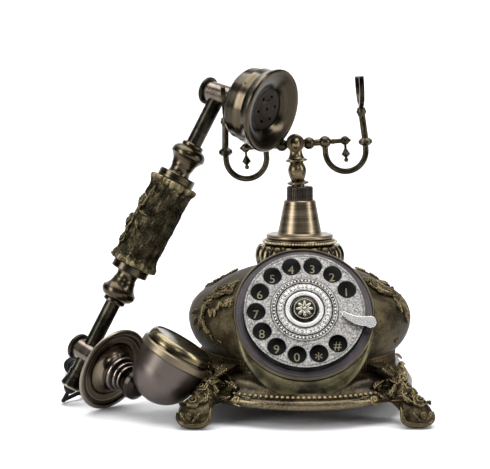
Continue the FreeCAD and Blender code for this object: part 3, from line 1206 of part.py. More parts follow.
lid = turned("mouth_lid_profile", [
    ("cup_radius - cup_wall - 2", half_band), ("cup_radius", half_band), ("cup_radius",
                                                                          "band_height*0.5 + 1.2"),
    ("cup_radius - 2.4", "band_height*0.5 + lid_height*0.45", 1, "22"),
    ("lid_mouth_radius + 1.4", LID_TOP + " - 0.8"), ("lid_mouth_radius + 0.8", LID_TOP),
    ("lid_mouth_radius", LID_TOP), ("lid_mouth_radius - 1", LID_TOP + " - 3.4"), ("0",
                                                                                  LID_TOP + " - 4"),
    ("0", LID_TOP + " - 5.6"), ("lid_mouth_radius - 1", LID_TOP + " - 5.6")])
lid_holes = [Part.makeCylinder(size("sound_hole_radius"), 12, Vector(0, 0, size(LID_TOP) - 10))]
for count, circle in ((6, 0.36), (12, 0.72)):
    for i in range(count):
        one = Part.makeCylinder(size("sound_hole_radius"), 12,
                                Vector(size("lid_mouth_radius") * circle, 0, size(LID_TOP) - 10))
        one.rotate(Vector(), Vector(0, 0, 1), 360.0 * i / count)
        lid_holes.append(one)
shaped("mouth_lid", lid.Shape.cut(Part.makeCompound(lid_holes)), cup_place)
microphone = turned("microphone_capsule", [
    ("0", "0 - 5"), ("cup_radius - cup_wall - 2.4", "0 - 5"), ("cup_radius - cup_wall - 2.4",
                                                               "band_height*0.5 - 0.4"),
    ("0", "band_height*0.5 - 0.4")])
keep(microphone, "microphone_capsule", cup_place)


# Cord: a plug and boot in the tail, the curled cable on the floor, and the plug in the jack
def rounded_route(points):
    """The straight runs and tangent arcs through points, and the least radius among the arcs."""
    points = [Vector(*point) for point in points]
    edges, start, radii = [], points[0], []
    for before, corner, after in zip(points, points[1:], points[2:]):
        back, ahead = before - corner, after - corner
        half_turn = (math.pi - back.getAngle(ahead)) / 2
        reach = 0.45 * min(back.Length, ahead.Length)
        radii.append(reach / math.tan(half_turn))
        first = corner + Vector(back).normalize() * reach
        last = corner + Vector(ahead).normalize() * reach
        inward = (Vector(back).normalize() + Vector(ahead).normalize()).normalize()
        middle = corner + inward * (radii[-1] / math.cos(half_turn) - radii[-1])
        edges += [Part.makeLine(start, first), Part.Arc(first, middle, last).toShape()]
        start = last
    edges.append(Part.makeLine(start, points[-1]))
    print("cord bends", [round(radius, 1) for radius in radii])
    return edges


def stretch(edges, low, high):
    """The part of a route between two distances along it."""
    kept, travelled = [], 0.0
    for edge in edges:
        first, last = max(low - travelled, 0.0), min(high - travelled, edge.Length)
        if last - first > 1e-6:
            kept.append(edge.Curve.toShape(edge.getParameterByLength(first),
                                           edge.getParameterByLength(last)))
        travelled += edge.Length
    return kept


plug = turned("cord_plug_profile", [
    ("0", "0 - tail_length - boot_length"), ("cable_radius + 0.8", "0 - tail_length - boot_length"),
    ("boot_radius", "0 - tail_length - boot_length*0.35"), ("boot_radius", "0 - tail_length - 0.3"),
    ("plug_radius", "0 - tail_length - 0.3"), ("plug_radius", "plug_length - tail_length"),
    ("0", "plug_length - tail_length")])
keep(plug, "cord_plug", handset)


def curls(edges, cable_radius, coil_radius, pitch):
    """Places and headings of a cable that winds round a stretch, eased at both of its ends."""
    length = sum(edge.Length for edge in edges)
    turns = int(length / pitch)

    def centre(distance):
        for edge in edges:
            if distance <= edge.Length or edge is edges[-1]:
                parameter = edge.getParameterByLength(min(distance, edge.Length))
                return edge.valueAt(parameter), edge.tangentAt(parameter)
            distance -= edge.Length

    def place(turn):
        ease = min(1.0, turn, turns - turn)
        ease = ease * ease * (3 - 2 * ease)
        spot, ahead = centre(turn / turns * length)
        side = ahead.cross(Vector(0, 0, 1)).normalize()
        angle = 2 * math.pi * turn
        return spot + (side * math.sin(angle) + Vector(0, 0,
                                                       1) * math.cos(angle)) * (coil_radius * ease)

    def heading(turn):
        before, after = place(max(0.0, turn - 0.002)), place(min(turns, turn + 0.002))
        return (after - before).normalize()

    samples = [place(i / 24) for i in range(turns * 24 + 1)]
    gap = min((samples[i] - samples[k]).Length for i in range(len(samples))
              for k in range(i + 14, min(i + 40, len(samples))))
    print(turns, "curls, least gap between them", round(gap - 2 * cable_radius, 2))
    marks = [i / 4 for i in range(4)] + [1 + i / 2 for i in range((turns - 2) * 2)]
    marks += [turns - 1 + i / 4 for i in range(5)]
    return [(place(mark), heading(mark)) for mark in marks]


def two_arcs(start, start_heading, end, end_heading):
    """The two tangent arcs that join two places with their headings."""
    chord, both = end - start, start_heading + end_heading
    square = 2 * (1 - start_heading.dot(end_heading))
    if square < 1e-9:
        reach = chord.dot(chord) / (4 * chord.dot(end_heading))
    else:
        reach = (-chord.dot(both) + math.sqrt(chord.dot(both) ** 2 + square * chord.dot(chord))) / square
    first_corner, last_corner = start + start_heading * reach, end - end_heading * reach
    meeting = (first_corner + last_corner) * 0.5
    edges = []
    for begin, corner, finish in ((start, first_corner, meeting), (meeting, last_corner, end)):
        half_way = (begin + finish) * 0.5
        half_chord = (finish - begin).Length / 2
        rise = (corner - half_way).Length
        if rise < 1e-4:
            edges.append(Part.makeLine(begin, finish))
            continue
        middle = corner + (half_way - corner).normalize() * (reach * (reach - half_chord) / rise)
        edges.append(Part.Arc(begin, middle, finish).toShape())
    return edges


def cord_tube():
    """The whole cord as one unbroken tube: plain cable, the curls, and plain cable up to the jack."""
    radius, low = size("cable_radius"), size("curl_start")
    route = rounded_route(CORD_ROUTE)
    length = sum(edge.Length for edge in route)
    high = length - size("curl_end")
    marks = curls(stretch(route, low, high), radius, size("curl_radius") - radius, size("curl_pitch"))
    edges = stretch(route, 0, low)
    for (start, start_heading), (end, end_heading) in zip(marks, marks[1:]):
        edges += two_arcs(start, start_heading, end, end_heading)
    path = Part.Wire(edges + stretch(route, high, length))
    first = path.OrderedEdges[0]
    section = Part.Wire([Part.makeCircle(radius, first.valueAt(first.FirstParameter),
                                         first.tangentAt(first.FirstParameter))])
    tube = path.makePipeShell([section], True, False)
    print("cord", round(path.Length, 1), "long, volume against section times length",
          round(tube.Volume / (math.pi * radius ** 2 * path.Length), 4))
    return tube


shaped("handset_cord", cord_tube())
jack_plug = turned("cord_jack_plug", [
    ("0", "jack_length - jack_depth + 1"), ("plug_radius", "jack_length - jack_depth + 1"),
    ("plug_radius", "jack_length + 0.3"), ("boot_radius", "jack_length + 0.3"),
    ("boot_radius", "jack_length + boot_length"), ("cable_radius + 0.8",
                                                   "jack_length + boot_length*2.4"),
    ("0", "jack_length + boot_length*2.4")])
keep(jack_plug, "cord_jack_plug", jack_places["handset_jack"])

for item in document.Objects:
    if "Invalid" in item.State or "Error" in item.State:
        raise SystemExit("%s is in state %s" % (item.Label, item.State))
for piece in nodes:
    if piece.Shape.isNull() or not piece.Shape.isValid() or not piece.Shape.Solids:
        raise SystemExit("%s has no sound solid" % piece.Label)
os.makedirs("parts", exist_ok=True)
for piece in nodes:
    piece.Shape.exportStep("parts/%s.step" % piece.Label)
print(len(nodes), "sub-parts written")
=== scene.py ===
"""An antique style cradle telephone on a pale floor: base with rose relief, dial, cradle and handset."""

import math
import random

import bpy
from mathutils import Matrix, Vector, noise
from mathutils.bvhtree import BVHTree


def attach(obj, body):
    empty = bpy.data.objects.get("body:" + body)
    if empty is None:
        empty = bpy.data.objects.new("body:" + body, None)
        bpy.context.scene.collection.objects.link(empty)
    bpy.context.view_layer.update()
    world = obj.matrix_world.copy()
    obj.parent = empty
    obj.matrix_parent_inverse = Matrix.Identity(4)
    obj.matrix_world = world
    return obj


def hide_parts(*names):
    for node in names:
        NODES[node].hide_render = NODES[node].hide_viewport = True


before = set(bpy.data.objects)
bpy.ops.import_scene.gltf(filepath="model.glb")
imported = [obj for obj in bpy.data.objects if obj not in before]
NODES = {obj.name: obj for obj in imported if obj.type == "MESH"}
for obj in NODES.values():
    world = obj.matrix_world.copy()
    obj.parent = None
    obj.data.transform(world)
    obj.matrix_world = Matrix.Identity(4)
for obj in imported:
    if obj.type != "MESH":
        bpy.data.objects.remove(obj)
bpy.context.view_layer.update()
MM = 0.001


# The studio: a pale paper floor that curves up into a wall behind the telephone, five soft boxes round it,
# grey air that is brighter overhead, and the camera in front, a little above the dial and tipped down.
FLOOR_FRONT, FLOOR_BACK, WALL_BEND, WALL_TOP, HALF_WIDTH = -3.0, 1.3, 0.9, 4.0, 4.0


def outline_mesh(name, points, faces):
    """An object of points and faces, in metres."""
    mesh = bpy.data.meshes.new(name)
    mesh.from_pydata(points, [], faces)
    mesh.update()
    piece = bpy.data.objects.new(name, mesh)
    bpy.context.scene.collection.objects.link(piece)
    return piece


def paper_floor():
    profile = [(FLOOR_FRONT, 0.0), (FLOOR_BACK, 0.0)]
    for step in range(1, 13):
        turn = step * math.pi / 24
        profile.append((FLOOR_BACK + WALL_BEND * math.sin(turn), WALL_BEND - WALL_BEND * math.cos(turn)))
    profile.append((FLOOR_BACK + WALL_BEND, WALL_TOP))
    points = [(x, y, z) for y, z in profile for x in (-HALF_WIDTH, HALF_WIDTH)]
    faces = [(2 * i, 2 * i + 1, 2 * i + 3, 2 * i + 2) for i in range(len(profile) - 1)]
    floor = outline_mesh("studio_floor", points, faces)
    for face in floor.data.polygons:
        face.use_smooth = True
    paper = bpy.data.materials.new("floor_paper")
    paper.use_nodes = True
    shader = paper.node_tree.nodes["Principled BSDF"]
    shader.inputs["Base Color"].default_value = (0.78, 0.78, 0.79, 1)
    shader.inputs["Roughness"].default_value = 0.6
    shader.inputs["Specular IOR Level"].default_value = 0.2
    floor.data.materials.append(paper)


def soft_box(name, place, aim, width, height, power):
    light = bpy.data.lights.new(name, "AREA")
    light.shape = "RECTANGLE"
    light.size, light.size_y, light.energy = width, height, power
    lamp = bpy.data.objects.new(name, light)
    bpy.context.scene.collection.objects.link(lamp)
    lamp.location = place
    lamp.rotation_euler = (Vector(aim) - Vector(place)).to_track_quat("-Z", "Y").to_euler()


def put(tree, value, socket):
    """Sets a socket to a number or colour, or links it to another socket."""
    if isinstance(value, bpy.types.NodeSocket):
        tree.links.new(value, socket)
    else:
        socket.default_value = value


def blended(tree, factor, first, second):
    node = tree.nodes.new("ShaderNodeMix")
    node.data_type = "RGBA"
    put(tree, factor, node.inputs["Factor"])
    put(tree, first, node.inputs["A"])
    put(tree, second, node.inputs["B"])
    return node.outputs["Result"]


def studio_air():
    """Grey air, brighter overhead, that the camera itself sees as plain white."""
    world = bpy.data.worlds.new("studio_air")
    world.use_nodes = True
    bpy.context.scene.world = world
    tree = world.node_tree
    direction = tree.nodes.new("ShaderNodeTexCoord")
    height = tree.nodes.new("ShaderNodeSeparateXYZ")
    ramp = tree.nodes.new("ShaderNodeValToRGB")
    below, above = ramp.color_ramp.elements
    below.position, below.color = 0.45, (0.05, 0.05, 0.055, 1)
    above.position, above.color = 0.9, (0.45, 0.45, 0.48, 1)
    tree.links.new(direction.outputs["Generated"], height.inputs[0])
    tree.links.new(height.outputs["Z"], ramp.inputs[0])
    seen = tree.nodes.new("ShaderNodeLightPath").outputs["Is Camera Ray"]
    background = tree.nodes["Background"]
    tree.links.new(blended(tree, seen, ramp.outputs["Color"], (1, 1, 1, 1)), background.inputs["Color"])
    background.inputs["Strength"].default_value = 1.0


paper_floor()
soft_box("left_box", (-1.15, -0.75, 0.55), (0, 0, 0.12), 0.5, 1.0, 14)
soft_box("right_box", (1.2, -0.55, 0.55), (0, 0, 0.12), 0.3, 0.9, 9)
soft_box("top_box", (0.0, -0.1, 1.6), (0, 0, 0), 1.9, 1.2, 33)
soft_box("front_box", (0.35, -1.7, 1.3), (0, 0, 0.1), 0.4, 0.4, 3)
soft_box("wall_box", (0.0, 0.7, 1.9), (0, 2.0, 0.9), 3.0, 0.6, 60)
studio_air()
bpy.context.scene.view_settings.view_transform = "Standard"

SENSOR, PHOTO_WIDTH, FOCAL_PIXELS = 36.0, 490, 1385
lens = bpy.data.cameras.new("camera")
lens.sensor_fit, lens.sensor_width = "HORIZONTAL", SENSOR
lens.lens = SENSOR * FOCAL_PIXELS / PHOTO_WIDTH
lens.clip_end = 20
camera = bpy.data.objects.new("camera", lens)
bpy.context.scene.collection.objects.link(camera)
camera.location = (-0.0522, -0.9594, 0.2198)
camera.rotation_euler = (math.radians(83.9), 0, math.radians(-0.84))
bpy.context.scene.camera = camera


# Two finishes that most pieces share. Cast resin and aged metal have a dark patina in cloudy patches, a body
# that is brighter where hands have rubbed it, and a fine grain; what was turned on a lathe has fine lines
# round its axis.
def node_group(name, **values):
    """A group that takes a place, three colours and values, and gives colour, roughness and height."""
    group = bpy.data.node_groups.new(name, "ShaderNodeTree")
    sockets = [("Place", "INPUT", "NodeSocketVector")]
    sockets += [(label, "INPUT", "NodeSocketColor") for label in ("Dark", "Body", "Bright")]
    sockets += [(label, "INPUT", "NodeSocketFloat") for label in values]
    sockets += [("Color", "OUTPUT", "NodeSocketColor"), ("Roughness", "OUTPUT", "NodeSocketFloat"),
                ("Height", "OUTPUT", "NodeSocketFloat")]
    for label, way, kind in sockets:
        socket = group.interface.new_socket(label, in_out=way, socket_type=kind)
        if label in values:
            socket.default_value = values[label]
    return group, group.nodes.new("NodeGroupInput").outputs, group.nodes.new("NodeGroupOutput").inputs


def noise_in(tree, vector, scale, detail, roughness=0.6):
    """A noise texture on a vector, scaled by a number or by another socket."""
    texture = tree.nodes.new("ShaderNodeTexNoise")
    texture.inputs["Detail"].default_value = detail
    texture.inputs["Roughness"].default_value = roughness
    tree.links.new(vector, texture.inputs["Vector"])
    put(tree, scale, texture.inputs["Scale"])
    return texture.outputs["Fac"]


def sums(tree, operation, first, second=0.0, third=None):
    node = tree.nodes.new("ShaderNodeMath")
    node.operation = operation
    put(tree, first, node.inputs[0])
    put(tree, second, node.inputs[1])
    if third is not None:
        put(tree, third, node.inputs[2])
    return node.outputs[0]


def spread(tree, value, low, high, to_low=0.0, to_high=1.0, curve="SMOOTHSTEP"):
    """A value from low to high carried to another range."""
    node = tree.nodes.new("ShaderNodeMapRange")
    node.interpolation_type = curve
    sockets = ("Value", "From Min", "From Max", "To Min", "To Max")
    for socket, number in zip(sockets, (value, low, high, to_low, to_high)):
        put(tree, number, node.inputs[socket])
    return node.outputs["Result"]


def band(tree, value, low, high, soft=0.00015):
    """One from low to high and nothing outside, with soft ends."""
    rise = spread(tree, value, low - soft, low + soft)
    return sums(tree, "MULTIPLY", rise, spread(tree, value, high + soft, high - soft))


def apart(tree, place):
    """The X, Y and Z of a place."""
    node = tree.nodes.new("ShaderNodeSeparateXYZ")
    tree.links.new(place, node.inputs[0])
    return [node.outputs[axis] for axis in "XYZ"]


def radius_of(tree, x, y):
    squares = [sums(tree, "POWER", value, 2.0) for value in (x, y)]
    return sums(tree, "SQRT", sums(tree, "ADD", *squares))


# Its brightening input lifts what stands proud towards the bright colour as wear, and also carries painted
# highlights: the tops of the plinth's pearls and the rim band of the plinth.
def patina_group():
    group, given, end = node_group("patina", Patch=60, Grain=900, Rub=0.3, Raised=0, Smooth=0.3, Rough=0.5)
    patches = noise_in(group, given["Place"], given["Patch"], 5.0, 0.62)
    grain = noise_in(group, given["Place"], given["Grain"], 3.0, 0.55)
    body = blended(group, spread(group, patches, 0.36, 0.62), given["Dark"], given["Body"])
    worn = sums(group, "ADD", sums(group, "MULTIPLY", grain, 0.5), sums(group, "MULTIPLY", patches, 0.5))
    rubbed = sums(group, "MULTIPLY", spread(group, worn, 0.46, 0.66), given["Rub"])
    proud = sums(group, "ADD", given["Raised"], sums(group, "MULTIPLY_ADD", grain, 0.5, -0.25))
    bright = sums(group, "MAXIMUM", rubbed, spread(group, proud, 0.35, 0.95))
    group.links.new(blended(group, bright, body, given["Bright"]), end["Color"])
    gloss = sums(group, "ADD", sums(group, "MULTIPLY", grain, 0.6), sums(group, "MULTIPLY", patches, 0.4))
    rough = spread(group, gloss, 0.3, 0.7, given["Smooth"], given["Rough"], "LINEAR")
    group.links.new(rough, end["Roughness"])
    group.links.new(gloss, end["Height"])
    return group


def lathe_group():
    """Fine lines round the local Z axis of the place that comes in, over cloudy patches."""
    group, given, end = node_group("lathe_lines", Lines=2600, Patch=40, Contrast=0.5, Smooth=0.25, Rough=0.4)
    x, y, z = apart(group, given["Place"])
    together = group.nodes.new("ShaderNodeCombineXYZ")
    for value, socket in ((radius_of(group, x, y), "X"), (z, "Y"), (sums(group, "MULTIPLY", x, 0.01), "Z")):
        group.links.new(value, together.inputs[socket])
    turned = together.outputs[0]
    lines = noise_in(group, turned, given["Lines"], 2.0, 0.5)
    wide = noise_in(group, turned, sums(group, "MULTIPLY", given["Lines"], 0.12), 2.0, 0.5)
    patches = noise_in(group, given["Place"], given["Patch"], 4.0, 0.6)
    clouds = sums(group, "ADD", sums(group, "MULTIPLY", wide, 0.3), sums(group, "MULTIPLY", patches, 0.25))
    mix = sums(group, "ADD", sums(group, "MULTIPLY", lines, 0.45), clouds)
    deep = sums(group, "MULTIPLY", spread(group, mix, 0.60, 0.36), given["Contrast"])
    high = sums(group, "MULTIPLY", spread(group, mix, 0.50, 0.68), given["Contrast"])
    body = blended(group, deep, given["Body"], given["Dark"])
    group.links.new(blended(group, high, body, given["Bright"]), end["Color"])
    rough = spread(group, mix, 0.35, 0.65, given["Smooth"], given["Rough"], "LINEAR")
    group.links.new(rough, end["Roughness"])
    group.links.new(lines, end["Height"])
    return group


PATINA, LATHE = patina_group(), lathe_group()


def finish_of(name, metallic, specular=0.5):
    """A new material: its tree, its shader and its object coordinates."""
    material = bpy.data.materials.new(name)
    material.use_nodes = True
    tree = material.node_tree
    shader = tree.nodes["Principled BSDF"]
    shader.inputs["Metallic"].default_value = metallic
    shader.inputs["Specular IOR Level"].default_value = specular
    return material, tree, shader, tree.nodes.new("ShaderNodeTexCoord").outputs["Object"]


def coated(tree, shader, group, place, colours, bump, depth, **values):
    """Places a finish's group in a material with its own colours and values, and leads it to the shader."""
    node = tree.nodes.new("ShaderNodeGroup")
    node.node_tree = group
    tree.links.new(place, node.inputs["Place"])
    for label, colour in zip(("Dark", "Body", "Bright"), colours):
        node.inputs[label].default_value = (*colour, 1)
    for label, value in values.items():
        node.inputs[label].default_value = value
    tree.links.new(node.outputs["Color"], shader.inputs["Base Color"])
    tree.links.new(node.outputs["Roughness"], shader.inputs["Roughness"])
    bumps = tree.nodes.new("ShaderNodeBump")
    bumps.inputs["Strength"].default_value = bump
    bumps.inputs["Distance"].default_value = depth
    tree.links.new(node.outputs["Height"], bumps.inputs["Height"])
    tree.links.new(bumps.outputs["Normal"], shader.inputs["Normal"])
    return node


def patina(name, metallic, bump, colours, wear, gloss, wear_and_highlight=None, specular=0.5):
    """A material in the patina finish. colours are dark, body and bright; wear is the scale of the patches,
    that of the grain, and how much is rubbed; gloss is the roughness from smooth to rough. The seventh argument
    names the attribute that says how far each point is brightened, which is wear where relief stands proud and
    a painted highlight on the tops of the pearls, or gives a band of heights in mm and how far it is
    brightened, which is rubbed gold together with a painted highlight on the plinth's rim."""
    material, tree, shader, place = finish_of(name, metallic, specular)
    patch, grain, rub = wear
    smooth, rough = gloss
    node = coated(tree, shader, PATINA, place, colours, bump, 0.0004, Patch=patch, Grain=grain, Rub=rub,
                  Smooth=smooth, Rough=rough)
    if isinstance(wear_and_highlight, str):
        attribute = tree.nodes.new("ShaderNodeAttribute")
        attribute.attribute_name = wear_and_highlight
        tree.links.new(attribute.outputs["Fac"], node.inputs["Raised"])
    elif wear_and_highlight:
        low, high, share = wear_and_highlight
        level = band(tree, apart(tree, place)[2], low * MM, high * MM, 0.001)
        tree.links.new(sums(tree, "MULTIPLY", level, share), node.inputs["Raised"])
    return material


def lathe(name, axis, colours, gloss=(0.25, 0.4), contrast=0.5, along=(), across=()):
    """A material in the turned finish; axis carries local Z onto the piece's own axis, in the row frame, and
    along and across hold bands of another colour by height and by radius, in millimetres."""
    material, tree, shader, place = finish_of(name, 1.0)
    mapping = tree.nodes.new("ShaderNodeMapping")
    mapping.vector_type = "POINT"
    back = axis.inverted()
    mapping.inputs["Location"].default_value = back.to_translation()
    mapping.inputs["Rotation"].default_value = back.to_euler()
    tree.links.new(place, mapping.inputs["Vector"])
    local = mapping.outputs[0]
    smooth, rough = gloss
    node = coated(tree, shader, LATHE, local, colours, 0.08, 0.0001, Contrast=contrast, Smooth=smooth,
                  Rough=rough)
    x, y, z = apart(tree, local)
    colour = node.outputs["Color"]
    for value, bands in ((z, along), (radius_of(tree, x, y), across)):
        for low, high, tint, share in bands:
            factor = sums(tree, "MULTIPLY", band(tree, value, low * MM, high * MM), share)
            colour = blended(tree, factor, colour, (*tint, 1))
    tree.links.new(colour, shader.inputs["Base Color"])
    return material


def speckled(name, metallic, specular, scale, dark, bright, rough):
    """A material with a fine speckle between two colours; rough is one roughness, or two to go between."""
    material, tree, shader, place = finish_of(name, metallic, specular)
    mark = noise_in(tree, place, scale, 3.0)
    tree.links.new(blended(tree, mark, (*dark, 1), (*bright, 1)), shader.inputs["Base Color"])
    if isinstance(rough, tuple):
        rough = spread(tree, mark, 0.3, 0.7, *rough)
    put(tree, rough, shader.inputs["Roughness"])
    return material


def dulled(material):
    """Darkens what a finish mirrors at a grazing angle."""
    tint = material.node_tree.nodes["Principled BSDF"].inputs["Specular Tint"]
    tint.default_value = (0.15, 0.135, 0.105, 1)
    return material


def dress(material, *names):
    """Gives CAD nodes their material."""
    for name in names:
        NODES[name].data.materials.clear()
        NODES[name].data.materials.append(material)


# The handset cord: a black curly cable that leaves the tail of the handset, lies on the floor behind the
# telephone and rises into the jack in the back of the plinth.
CORD_ROUTE = [(-161.31, -14.56, 8.8), (-164.28, -15.1, 2.99), (-165.3, -8.6, 2.0), (-160.0, -2.5, 3.4),
              (-150.5, 7.0, 6.2), (-141.0, 30.0, 6.2), (-147.0, 62.0, 6.2), (-178.0, 92.0, 6.2),
              (-150.0, 125.0, 6.2), (-100.0, 128.0, 6.2), (-70.0, 114.0, 6.2), (-52.0, 107.0, 10.0),
              (-38.0, 102.6, 22.0), (-38.0, 84.2, 24.6)]
CABLE_RADIUS, CURL_RADIUS, CURL_PITCH, END_PITCH = 1.5, 4.42, 4.6, 14.0
CURL_START, CURL_END, CURL_STEPS, GAP = 32.0, 56.0, 12, 0.001


def clamped(value, low=0.0, high=1.0):
    return min(high, max(low, value))


def spline_object(name, points, cyclic=False):
    """A curve object of one quadratic spline through control points in metres."""
    curve = bpy.data.curves.new(name, "CURVE")
    curve.dimensions, curve.resolution_u = "3D", 12
    spline = curve.splines.new("NURBS")
    spline.points.add(len(points) - 1)
    for point, place in zip(spline.points, points):
        point.co = (*place, 1)
    spline.order_u, spline.use_endpoint_u, spline.use_cyclic_u = 3, not cyclic, cyclic
    piece = bpy.data.objects.new(name, curve)
    bpy.context.scene.collection.objects.link(piece)
    return piece


def curled_line():
    """The cord's centre line: plain along the route, and wound round it between the two plain ends. The first
    and the last turn are drawn out, so that the cable isn't pinched where the curls open."""
    route = spline_object("cord_route", [Vector(point) * MM for point in CORD_ROUTE])
    bpy.context.view_layer.update()
    line = bpy.data.meshes.new_from_object(route.evaluated_get(bpy.context.evaluated_depsgraph_get()))
    places = [vertex.co.copy() for vertex in line.vertices]
    bpy.data.objects.remove(route)
    along = [0.0]
    for here, there in zip(places, places[1:]):
        along.append(along[-1] + (there - here).length)

    def at(distance):
        distance = clamped(distance, 0.0, along[-1])
        index = next(i for i in range(1, len(along)) if along[i] >= distance - 1e-12)
        share = (distance - along[index - 1]) / (along[index] - along[index - 1])
        return places[index - 1].lerp(places[index], share)

    def plain(low, high):
        return [place for place, distance in zip(places, along) if low < distance < high][::3]

    low, high, upward = CURL_START * MM, along[-1] - CURL_END * MM, Vector((0, 0, 1))
    turns = int((high - low) / (CURL_PITCH * MM))
    pitch = (high - low) / turns
    stretch = END_PITCH * MM - pitch
    points = plain(-1, low - stretch - GAP)
    for step in range(turns * CURL_STEPS + 1):
        turn = step / CURL_STEPS
        centre = low + pitch * turn + stretch * (max(0.0, turn - turns + 1) - max(0.0, 1 - turn))
        ahead = (at(centre + GAP) - at(centre - GAP)).normalized()
        side = ahead.cross(upward).normalized()
        ease = min(1.0, turn, turns - turn)
        ease = ease * ease * (3 - 2 * ease)
        swing = side * math.sin(2 * math.pi * turn) + upward * math.cos(2 * math.pi * turn)
        points.append(at(centre) + swing * (CURL_RADIUS * MM * ease / math.cos(math.pi / CURL_STEPS)))
    return points + plain(high + stretch + GAP, along[-1] - GAP) + [places[-1]]


cord = spline_object("handset_cord_curled", curled_line())
cord.data.resolution_u = 3
cord.data.bevel_depth, cord.data.bevel_resolution = CABLE_RADIUS * MM, 3
cord.data.use_fill_caps = True
jacket = speckled("cord_jacket", 0.0, 0.08, 700, (0.003, 0.003, 0.003), (0.009, 0.009, 0.009), (0.4, 0.55))
cord.data.materials.append(jacket)
dress(jacket, "cord_plug", "cord_jack_plug", "rubber_pads")
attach(cord, "base")
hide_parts("handset_cord")


# The base: plinth, scroll feet and pot are cast in resin and bronzed, and the waist is a dark band between
# them. The ring of lobes on the pot is smooth brass.
DARK_OLIVE, OLIVE, GOLD = (0.012, 0.009, 0.005), (0.066, 0.05, 0.028), (0.36, 0.285, 0.16)
foot_resin = patina("bronzed_resin", 0.5, 0.35, (DARK_OLIVE, (0.05, 0.038, 0.021), GOLD), (70, 900, 0.22),
                    (0.34, 0.55), specular=0.2)
pot_resin = patina("pot_resin", 0.4, 0.4, ((0.024, 0.019, 0.010), (0.062, 0.049, 0.027), (0.17, 0.136, 0.076)),
                   (60, 600, 0.4), (0.36, 0.58), specular=0.12)
# The plinth's band of heights from 12.4 to 18.8 mm is brightened: rubbed gold on the rim together with a
# painted highlight along it.
plinth_resin = patina("plinth_resin", 0.8, 0.3, (DARK_OLIVE, OLIVE, GOLD), (38, 900, 0.2), (0.22, 0.4),
                      (12.4, 18.8, 0.55))
waist_dark = patina("waist_dark", 0.6, 0.3, ((0.006, 0.005, 0.004), (0.02, 0.016, 0.01), OLIVE), (60, 900, 0.2),
                    (0.35, 0.55))
lobe_brass = patina("lobe_brass", 1.0, 0.06, ((0.04, 0.032, 0.018), (0.11, 0.09, 0.052), (0.2, 0.165, 0.10)),
                    (40, 500, 0.2), (0.15, 0.26))
dress(dulled(foot_resin), "scroll_feet", "bottom_cover")
dress(dulled(pot_resin), "pot_shell")
dress(plinth_resin, "plinth")
dress(waist_dark, "waist_band")
dress(lobe_brass, "gadroon_ring")


# The works inside: spring, screws, ringer and capsules are bright steel, the gears are yellow brass, the jacks
# and the switch are moulded in black plastic, and the circuit board is green laminate.
steel = patina("bright_steel", 1.0, 0.1, ((0.25, 0.25, 0.25), (0.5, 0.5, 0.5), (0.7, 0.7, 0.7)),
               (200, 2000, 0.4), (0.25, 0.35))
gear_brass = patina("gear_brass", 1.0, 0.1, ((0.3, 0.2, 0.07), (0.55, 0.38, 0.15), (0.75, 0.55, 0.25)),
                    (200, 2000, 0.4), (0.25, 0.35))
plastic = patina("black_plastic", 0.0, 0.2,
                 ((0.004, 0.004, 0.0045), (0.007, 0.007, 0.008), (0.014, 0.014, 0.016)),
                 (150, 1800, 0.2), (0.35, 0.5))
laminate = patina("board_laminate", 0.0, 0.1, ((0.01, 0.06, 0.02), (0.015, 0.10, 0.035), (0.03, 0.15, 0.06)),
                  (150, 1800, 0.2), (0.3, 0.4))
dress(steel, "cradle_spring", "bottom_screws", "receiver_capsule", "microphone_capsule", "ringer")
dress(gear_brass, "main_gear", "governor_pinion")
dress(plastic, "line_jack", "handset_jack", "hook_switch")
dress(laminate, "circuit_board")


# The cast relief of the base: roses, leaves and scrolls, each modelled once, then laid on the surface that
# carries it. What stands proud is rubbed to gold, and what lies deep stays dark.
def unselected():
    bpy.ops.object.select_all(action="DESELECT")


def picked(*pieces):
    """Selects these objects alone, the last one active."""
    unselected()
    for piece in pieces:
        piece.select_set(True)
    bpy.context.view_layer.objects.active = pieces[-1]


def half_ball(name, segments, rings, shape):
    """The upper half of a ball, flattened to shape."""
    unselected()
    bpy.ops.mesh.primitive_uv_sphere_add(segments=segments, ring_count=rings, radius=1.0)
    piece = bpy.context.active_object
    piece.name = name
    bpy.ops.object.mode_set(mode="EDIT")
    bpy.ops.mesh.select_all(action="SELECT")
    bpy.ops.mesh.bisect(plane_co=(0, 0, -0.1), plane_no=(0, 0, 1), clear_inner=True, use_fill=True)
    bpy.ops.mesh.select_all(action="SELECT")
    bpy.ops.transform.resize(value=shape)
    bpy.ops.object.mode_set(mode="OBJECT")
    return piece


def mark_wear_and_highlight(piece, values):
    """Stores how far each point is brightened, for the finish to read: wear where it stands proud, and a
    painted highlight on the tops of the pearls.
    """
    layer = piece.data.attributes.new("wear_and_highlight", "FLOAT", "POINT")
    layer.data.foreach_set("value", values)
    for face in piece.data.polygons:
        face.use_smooth = True
    return piece


def rose_blank():
    """A rose of one petal wound in a spiral, its fold highest in the middle."""
    rose = half_ball("rose_blank", 40, 48, (1, 1, 0.5))
    proud = []
    for vertex in rose.data.vertices:
        x, y, z = vertex.co
        reach, turn = math.hypot(x, y), math.atan2(y, x)
        wind = (2.7 * reach ** 0.85 - turn / (2 * math.pi)) % 1.0
        fold = min(wind / 0.7, (1 - wind) / 0.3)
        proud.append(fold ** 2 * (0.3 + 0.6 * min(1.0, z / 0.25)) if z > 0 else 0.0)
        if z > 0:
            vertex.co.z = z * 0.75 + 0.26 * fold * (1.15 - reach)
            spread_out = 1 + 0.07 * math.cos(5 * turn + 6 * reach)
            vertex.co.x, vertex.co.y = x * spread_out, y * spread_out
    return mark_wear_and_highlight(rose, proud)


